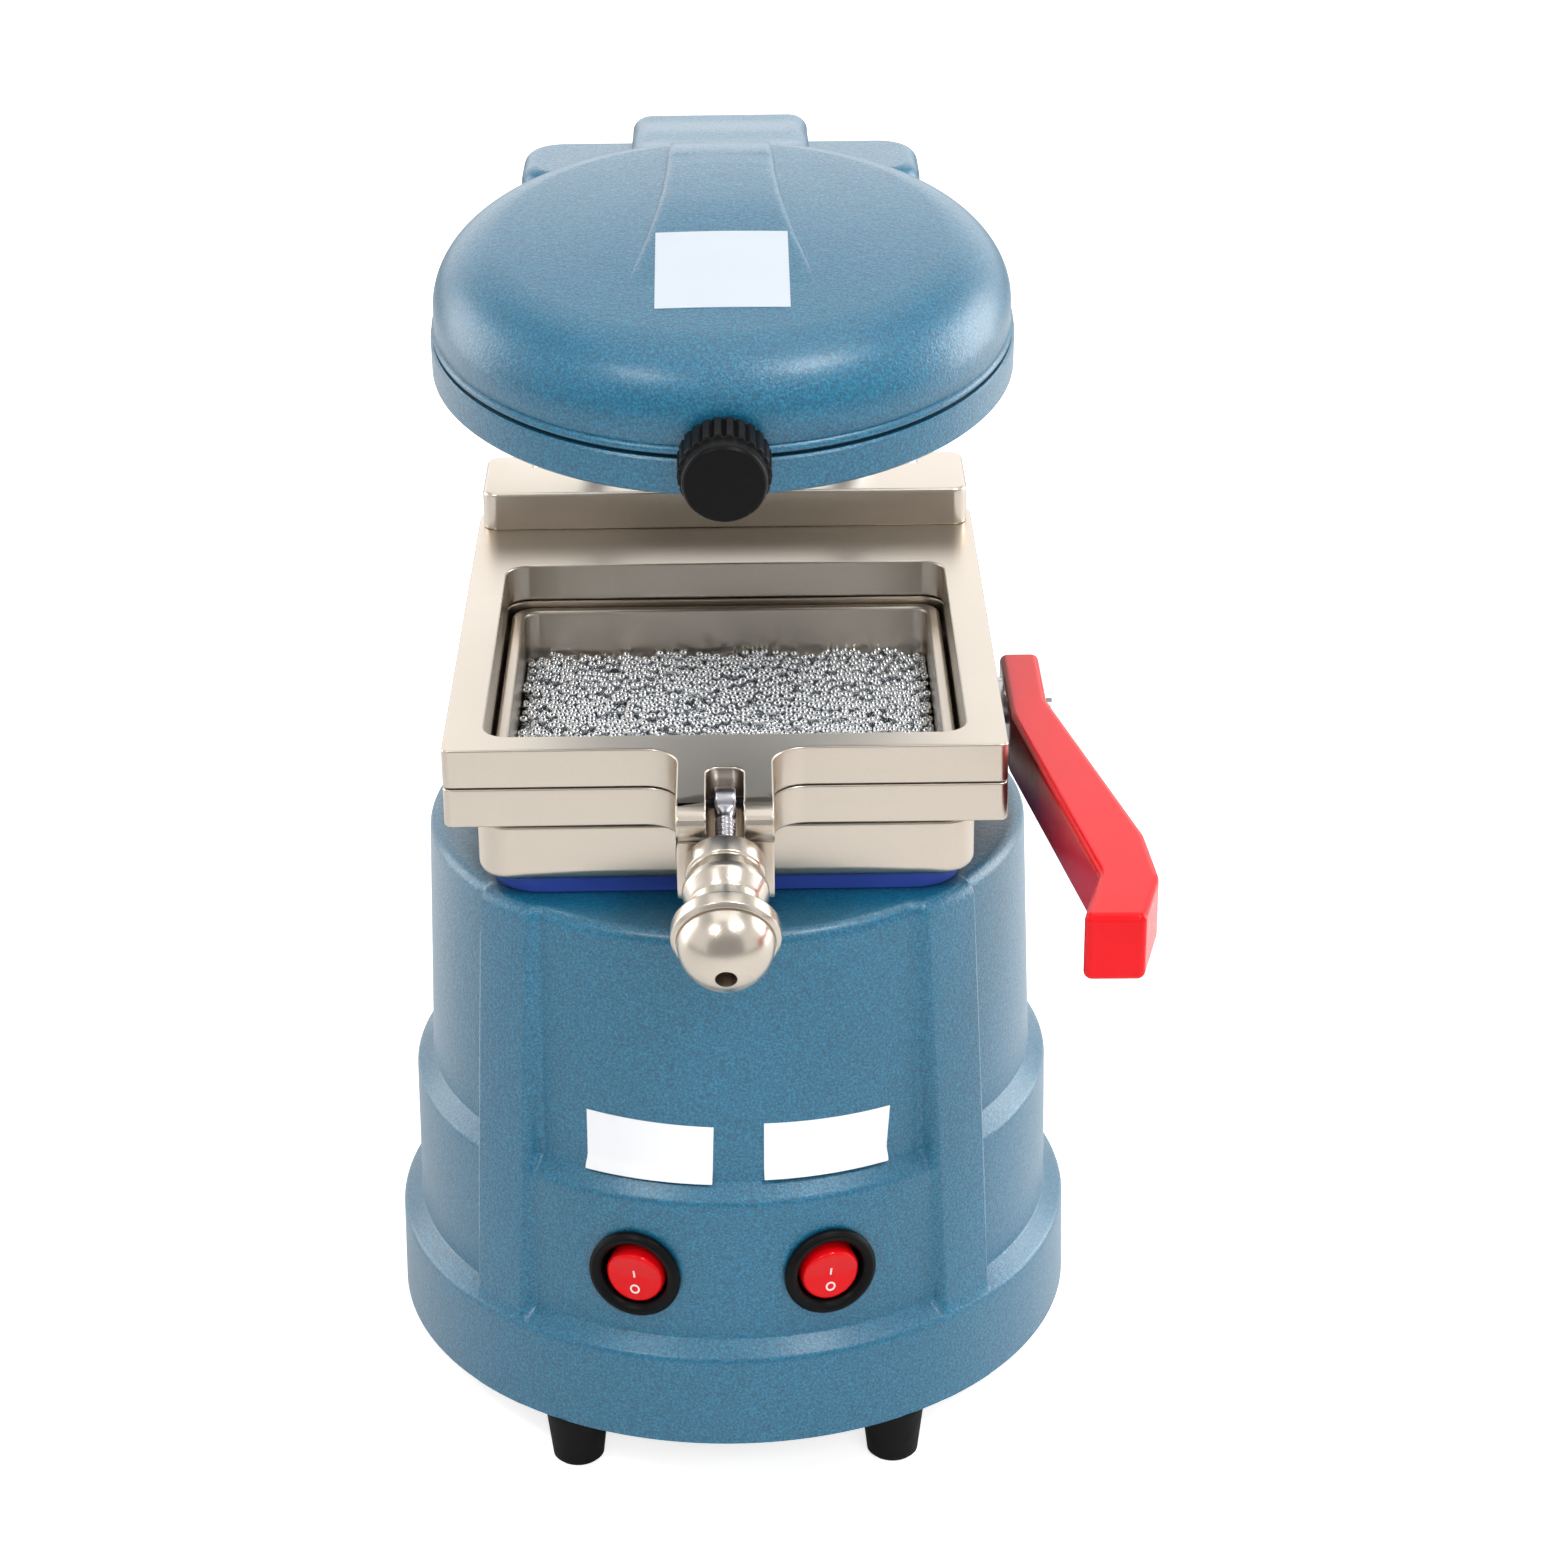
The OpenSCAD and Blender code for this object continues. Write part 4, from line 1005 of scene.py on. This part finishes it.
def dome_label():
    table = dome_curve(DOME_R, HEATER_H)
    place = head_matrix()

    def top(x, y):
        dome = dome_surface(x, y, table)
        return max(dome, arm_top(x, y, table)) if abs(x) < arm_half_width(y) and y > -36 else dome

    def surface(u, v):
        x, y, e = -15.6 + 31.4 * u, -42.0 + 34.0 * v, 0.5
        n = Vector((top(x - e, y) - top(x + e, y), top(x, y - e) - top(x, y + e), 2 * e))
        return place @ Vector((x, y, top(x, y))), n.normalized()

    curved_label("heater_label_blank", DOME_LABEL, "heater_head", surface)


# Chamber with its tray, gasket, handle, top block, hinge bar

def make_chamber():
    deck, bottom, shoulder, lip, tray = 152.0, 156.0, 171.1, 180.3, 158.0
    wide, front, rear, edge = 60.5, -55, 65, 3.5
    rings = []

    def ring(x1, y0, y1, r, z):
        rings.append([(x, y, z) for x, y in round_rect(-x1, y0, x1, y1, max(r, 0.3))])

    def quarter(parts):
        """1 - sine and 1 - cosine over a quarter turn."""
        for i in range(parts + 1):
            a = math.radians(90 * i / parts)
            yield 1 - math.sin(a), 1 - math.cos(a)

    ring(wide - edge - 1, front + edge + 1, rear - edge - 1, 4, bottom)
    for s, c in quarter(8):
        in_ = edge * s
        ring(wide - in_, front + in_, rear - in_, 8 - in_ * 0.6, bottom + edge * c)
    for s, c in quarter(4):
        in_ = 0.7 * c
        ring(wide - in_, front + in_, rear - in_, 8 - in_, shoulder - 0.7 * s)
    ring(wide - 1, front + 3, rear - 1, 7, shoulder)
    ring(wide - 1, front + 3, rear - 1, 7, shoulder - 2)
    ring(57.3, -46.4, 62.7, 6, shoulder - 2)
    for s, c in quarter(6):
        in_ = 1.1 * c
        ring(57.3 - in_, -46.4 + in_, 62.7 - in_, 6 - in_ * 0.6, lip - 1.1 * s)
    for s, c in quarter(6):
        out = 0.8 * s
        ring(53.9 + out, -43.0 - out, 59.3 + out, 4 + out * 0.6, lip - 0.8 * c)
    ring(53.9, -43.0, 59.3, 4, tray + 1)
    ring(53.0, -42.1, 58.4, 3.4, tray)
    stacked("chamber_tray", rings, M["nickel"], node="vacuum_chamber", sharp=50, flat=True)
    rounded_slab("chamber_gasket_pad", round_rect(-57.5, -52, 57.5, 62, 12), deck + 0.02,
                 bottom - 0.02, 0.3, 0.3, M["blue_rubber"], node="chamber_gasket")


# The handle's outline as (x, y, corner radius), x from its inner side at HANDLE_X
HANDLE_X = 70.6
HANDLE = [(0, 17, 2), (0, -22, 18), (14, -110, 10), (8.6, -132.4, 2), (22.6, -132.6, 2),
          (27.7, -112, 14), (26.4, -90, 16), (10, -12, 22), (10, 17, 2)]


def make_handle():
    loop = closed_fillet([(HANDLE_X + x, y, r) for x, y, r in HANDLE], 10)
    rounded_slab("handle_lever", loop, 168.35, 184.85, 1.9, 1.9, M["red_gloss"], 7,
                 node="handle", sharp=60)


def make_handle_bolt():
    place = Matrix.Translation((59.6, 5, 176.6)) @ Matrix.Rotation(math.pi / 2, 4, "Y")
    end = 21.0
    profile = filleted([(0.01, 0, 0), (2.95, 0, 0.3), (2.95, end, 0), (3.3, end, 0.2),
                        (3.3, end + 0.8, 0.2), (2.2, end + 1.0, 0.1), (2.2, end + 3.0, 0.7),
                        (0.01, end + 3.1, 0)], 4)
    verts, faces = lathe(profile, 48, place)
    add_piece("handle_bolt_turned", verts, faces, M["bright_steel"], "handle_bolt", sharp=40)


def make_top_block():
    loop = round_rect(-54.5, 116, 54.5, 152, 11, 12)
    rounded_slab("top_block_cast", loop, 266.5, 284.5, 1.5, 4.5, M["blue_paint"], 8,
                 node="top_block", sharp=60)


def round_lug(bm):
    """Gives the upper lug a full, round nose inside the CAD's."""
    low, high, front = 181.9, 191.9, -89.8
    r_low, r_top, drop = 5, 9, 5.2  # below a round, above an ellipse r_top by drop

    def cut(co, no):
        bmesh.ops.bisect_plane(bm, geom=bm.verts[:] + bm.edges[:] + bm.faces[:], dist=1e-7,
                               plane_co=[c * MM for c in co], plane_no=no)

    for step in range(1, 7):
        cut((0, 0, low + r_low * (1 - math.cos(math.radians(15 * step)))), (0, 0, 1))
    for back in (0.25, 0.7, 1.3, 2, 2.9, 3.8, 4.8, 5.8, 7, 8, r_top):
        cut((0, front + back, 0), (0, 1, 0))
    for v in bm.verts:
        y, z = v.co.y / MM, v.co.z / MM
        if y < front + r_low and z < low + r_low:
            reach = math.sqrt(max(0.0, r_low ** 2 - (low + r_low - z) ** 2)) * 0.98
            y = max(y, front + r_low - reach)
            v.co.y = y * MM
        if y < front + r_top and z > high - 6:
            t = (front + r_top - y) / r_top
            v.co.z = min(z, high - drop * (1 - math.sqrt(max(0.0, 1 - t * t)))) * MM


def make_bar():
    """The hinge bar with slots for the two ears of the hinge."""
    bar = rounded_slab("hinge_bar_block", round_rect(-66.5, 90.4, 66.5, 120.8, 4, 6), 191.92,
                       202.5, 0.4, 1.0, M["nickel"], node="hinge_bar")
    subtract(bar, [box(x - 3.8, x + 3.8, 111, 125, 190, 210) for x in (-50, 50)])


make_base()
make_painted_edge_highlights()
make_dome()
make_arm()
make_heater_knob()
make_clamp_knob()
make_eye_bolt()
make_switch("left", -1)
make_switch("right", 1)
make_balls()
switch_label("left_label_blank", (-34.6, -68.3, 101.2), (-4, -76.4, 100.3),
             (-35.5, -70.5, 85.5), (-4.6, -79, 85.2))
switch_label("right_label_blank", (8.1, -76.2, 101.0), (38.6, -66.1, 99.8),
             (8.2, -79, 86.1), (39, -70, 85.5))
dome_label()
make_chamber()
make_handle()
make_handle_bolt()
make_top_block()
make_bar()
soften("upper_frame", 0.5, shape=round_lug)
soften("lower_frame", 0.5)
soften("power_inlet", 0.4)


# Floor, light and camera. Lengths are in metres from here on.

WHITE = (1, 1, 1, 1)


def in_view(tree, kinds):
    """1 for rays of the given kinds, else 0."""
    path = tree.nodes.new("ShaderNodeLightPath")
    most = path.outputs[kinds[0]]
    for kind in kinds[1:]:
        m = tree.nodes.new("ShaderNodeMath")
        m.operation = "MAXIMUM"
        tree.links.new(most, m.inputs[0])
        tree.links.new(path.outputs[kind], m.inputs[1])
        most = m.outputs[0]
    return most


def split_by_ray(tree, kinds, out_socket, seen, unseen):
    """Joins seen for rays of the given kinds, else unseen."""
    mix = tree.nodes.new("ShaderNodeMixShader")
    tree.links.new(in_view(tree, kinds), mix.inputs["Fac"])
    tree.links.new(unseen, mix.inputs[1])
    tree.links.new(seen, mix.inputs[2])
    tree.links.new(mix.outputs[0], out_socket)


def emission(tree, strength, kind="ShaderNodeEmission"):
    node = tree.nodes.new(kind)
    node.inputs["Color"].default_value = WHITE
    node.inputs["Strength"].default_value = strength
    return node


def make_world():
    """Seen or mirrored it is white, and greyer overhead; else it hardly lights the object."""
    scene.world = bpy.data.worlds.new("studio")
    scene.world.use_nodes = True
    tree = scene.world.node_tree
    tree.nodes.clear()
    out = tree.nodes.new("ShaderNodeOutputWorld")
    sky = tree.nodes.new("ShaderNodeTexCoord")
    split = tree.nodes.new("ShaderNodeSeparateXYZ")
    tree.links.new(sky.outputs["Generated"], split.inputs[0])
    fall = tree.nodes.new("ShaderNodeMapRange")
    for key, value in (("From Min", 0.50), ("From Max", 0.85), ("To Min", 1.0), ("To Max", 0.50)):
        fall.inputs[key].default_value = value
    tree.links.new(split.outputs["Z"], fall.inputs["Value"])
    backdrop = emission(tree, 1.0, "ShaderNodeBackground")
    tree.links.new(fall.outputs["Result"], backdrop.inputs["Strength"])
    dim = emission(tree, 0.15, "ShaderNodeBackground")
    split_by_ray(tree, ("Is Camera Ray", "Is Glossy Ray", "Is Transmission Ray"),
                 out.inputs["Surface"], backdrop.outputs[0], dim.outputs[0])


def make_floor():
    mesh = bpy.data.meshes.new("floor")
    bm = bmesh.new()
    bmesh.ops.create_grid(bm, x_segments=2, y_segments=2, size=9.0)
    bm.to_mesh(mesh)
    bm.free()
    g = Graph("pale_floor")
    g.finish(Roughness=0.8, Base_Color=(0.86, 0.86, 0.86, 1), Emission_Color=WHITE)
    g.join(g.spread(in_view(g.tree, ("Is Camera Ray",)), 0.04, 0.72, 0.0, 1.0),
           g.bsdf.inputs["Emission Strength"])
    mesh.materials.append(g.material)
    floor = linked("floor", mesh)


def make_card():
    """A grey card in front, seen in the metal but not by the camera."""
    mesh = bpy.data.meshes.new("dark_card")
    mesh.from_pydata([(-1.3, -1.45, 0.03), (1.3, -1.45, 0.03), (1.3, -1.45, 1.6),
                      (-1.3, -1.45, 1.6)], [], [(0, 1, 2, 3)])
    material = bpy.data.materials.new("dark_card")
    material.use_nodes = True
    tree = material.node_tree
    tree.nodes.clear()
    out = tree.nodes.new("ShaderNodeOutputMaterial")
    clear = tree.nodes.new("ShaderNodeBsdfTransparent")
    split_by_ray(tree, ("Is Camera Ray",), out.inputs["Surface"], clear.outputs[0],
                 emission(tree, 0.42).outputs[0])
    mesh.materials.append(material)
    card = linked("dark_card", mesh)


def area_light(name, place, aim, size, power, size_y=None):
    data = bpy.data.lights.new(name, "AREA")
    data.shape = "RECTANGLE"
    data.size = size
    data.size_y = size_y or size
    data.energy = power
    lamp = linked(name, data)
    lamp.visible_camera = False
    lamp.location = place
    lamp.rotation_mode = "QUATERNION"
    lamp.rotation_quaternion = (Vector(aim) - Vector(place)).to_track_quat("-Z", "Y")
    return lamp


def make_camera():
    """The photo's camera: place in mm, angles in radians, focal length from 1568 px."""
    place = Vector((6.2765, -850.5493, 554.1473)) * MM
    pitch, roll, yaw = 0.4377, -0.0088, 0.0098
    ahead = Vector((math.sin(yaw) * math.cos(pitch), math.cos(yaw) * math.cos(pitch),
                    -math.sin(pitch)))
    right = Vector((math.cos(yaw), -math.sin(yaw), 0))
    up = right.cross(ahead)
    axes = Matrix((math.cos(roll) * right + math.sin(roll) * up,
                   -math.sin(roll) * right + math.cos(roll) * up, -ahead)).transposed().to_4x4()
    data = bpy.data.cameras.new("camera")
    data.sensor_width = 36
    data.lens = 36 * 3655.8577 / 1568
    data.clip_start, data.clip_end = 0.05, 20
    camera = linked("camera", data)
    camera.matrix_world = Matrix.Translation(place) @ axes
    scene.camera = camera


make_world()
make_floor()
area_light("left_top", (-0.62, -0.80, 1.42), (0, 0, 0.18), 0.26, 5)
area_light("right_top", (0.62, -0.56, 1.60), (0, 0, 0.18), 0.5, 10, 0.36)
area_light("front_fill", (0.25, -1.36, 0.80), (0, 0, 0.12), 1.1, 14.5).visible_glossy = False
area_light("back_box", (0.0, 1.55, 0.75), (0, 0, 0.2), 2.2, 4.2, 1.0)
area_light("top", (0.0, 0.30, 1.50), (0, 0.03, 0.2), 1.3, 6)
area_light("left_box", (-1.15, 0.50, 0.42), (0, 0, 0.15), 0.7, 6.0, 0.9)
area_light("right_box", (1.15, 0.45, 0.42), (0, 0, 0.15), 0.7, 10, 0.9)
make_card()
make_camera()
scene.view_settings.view_transform = "Standard"
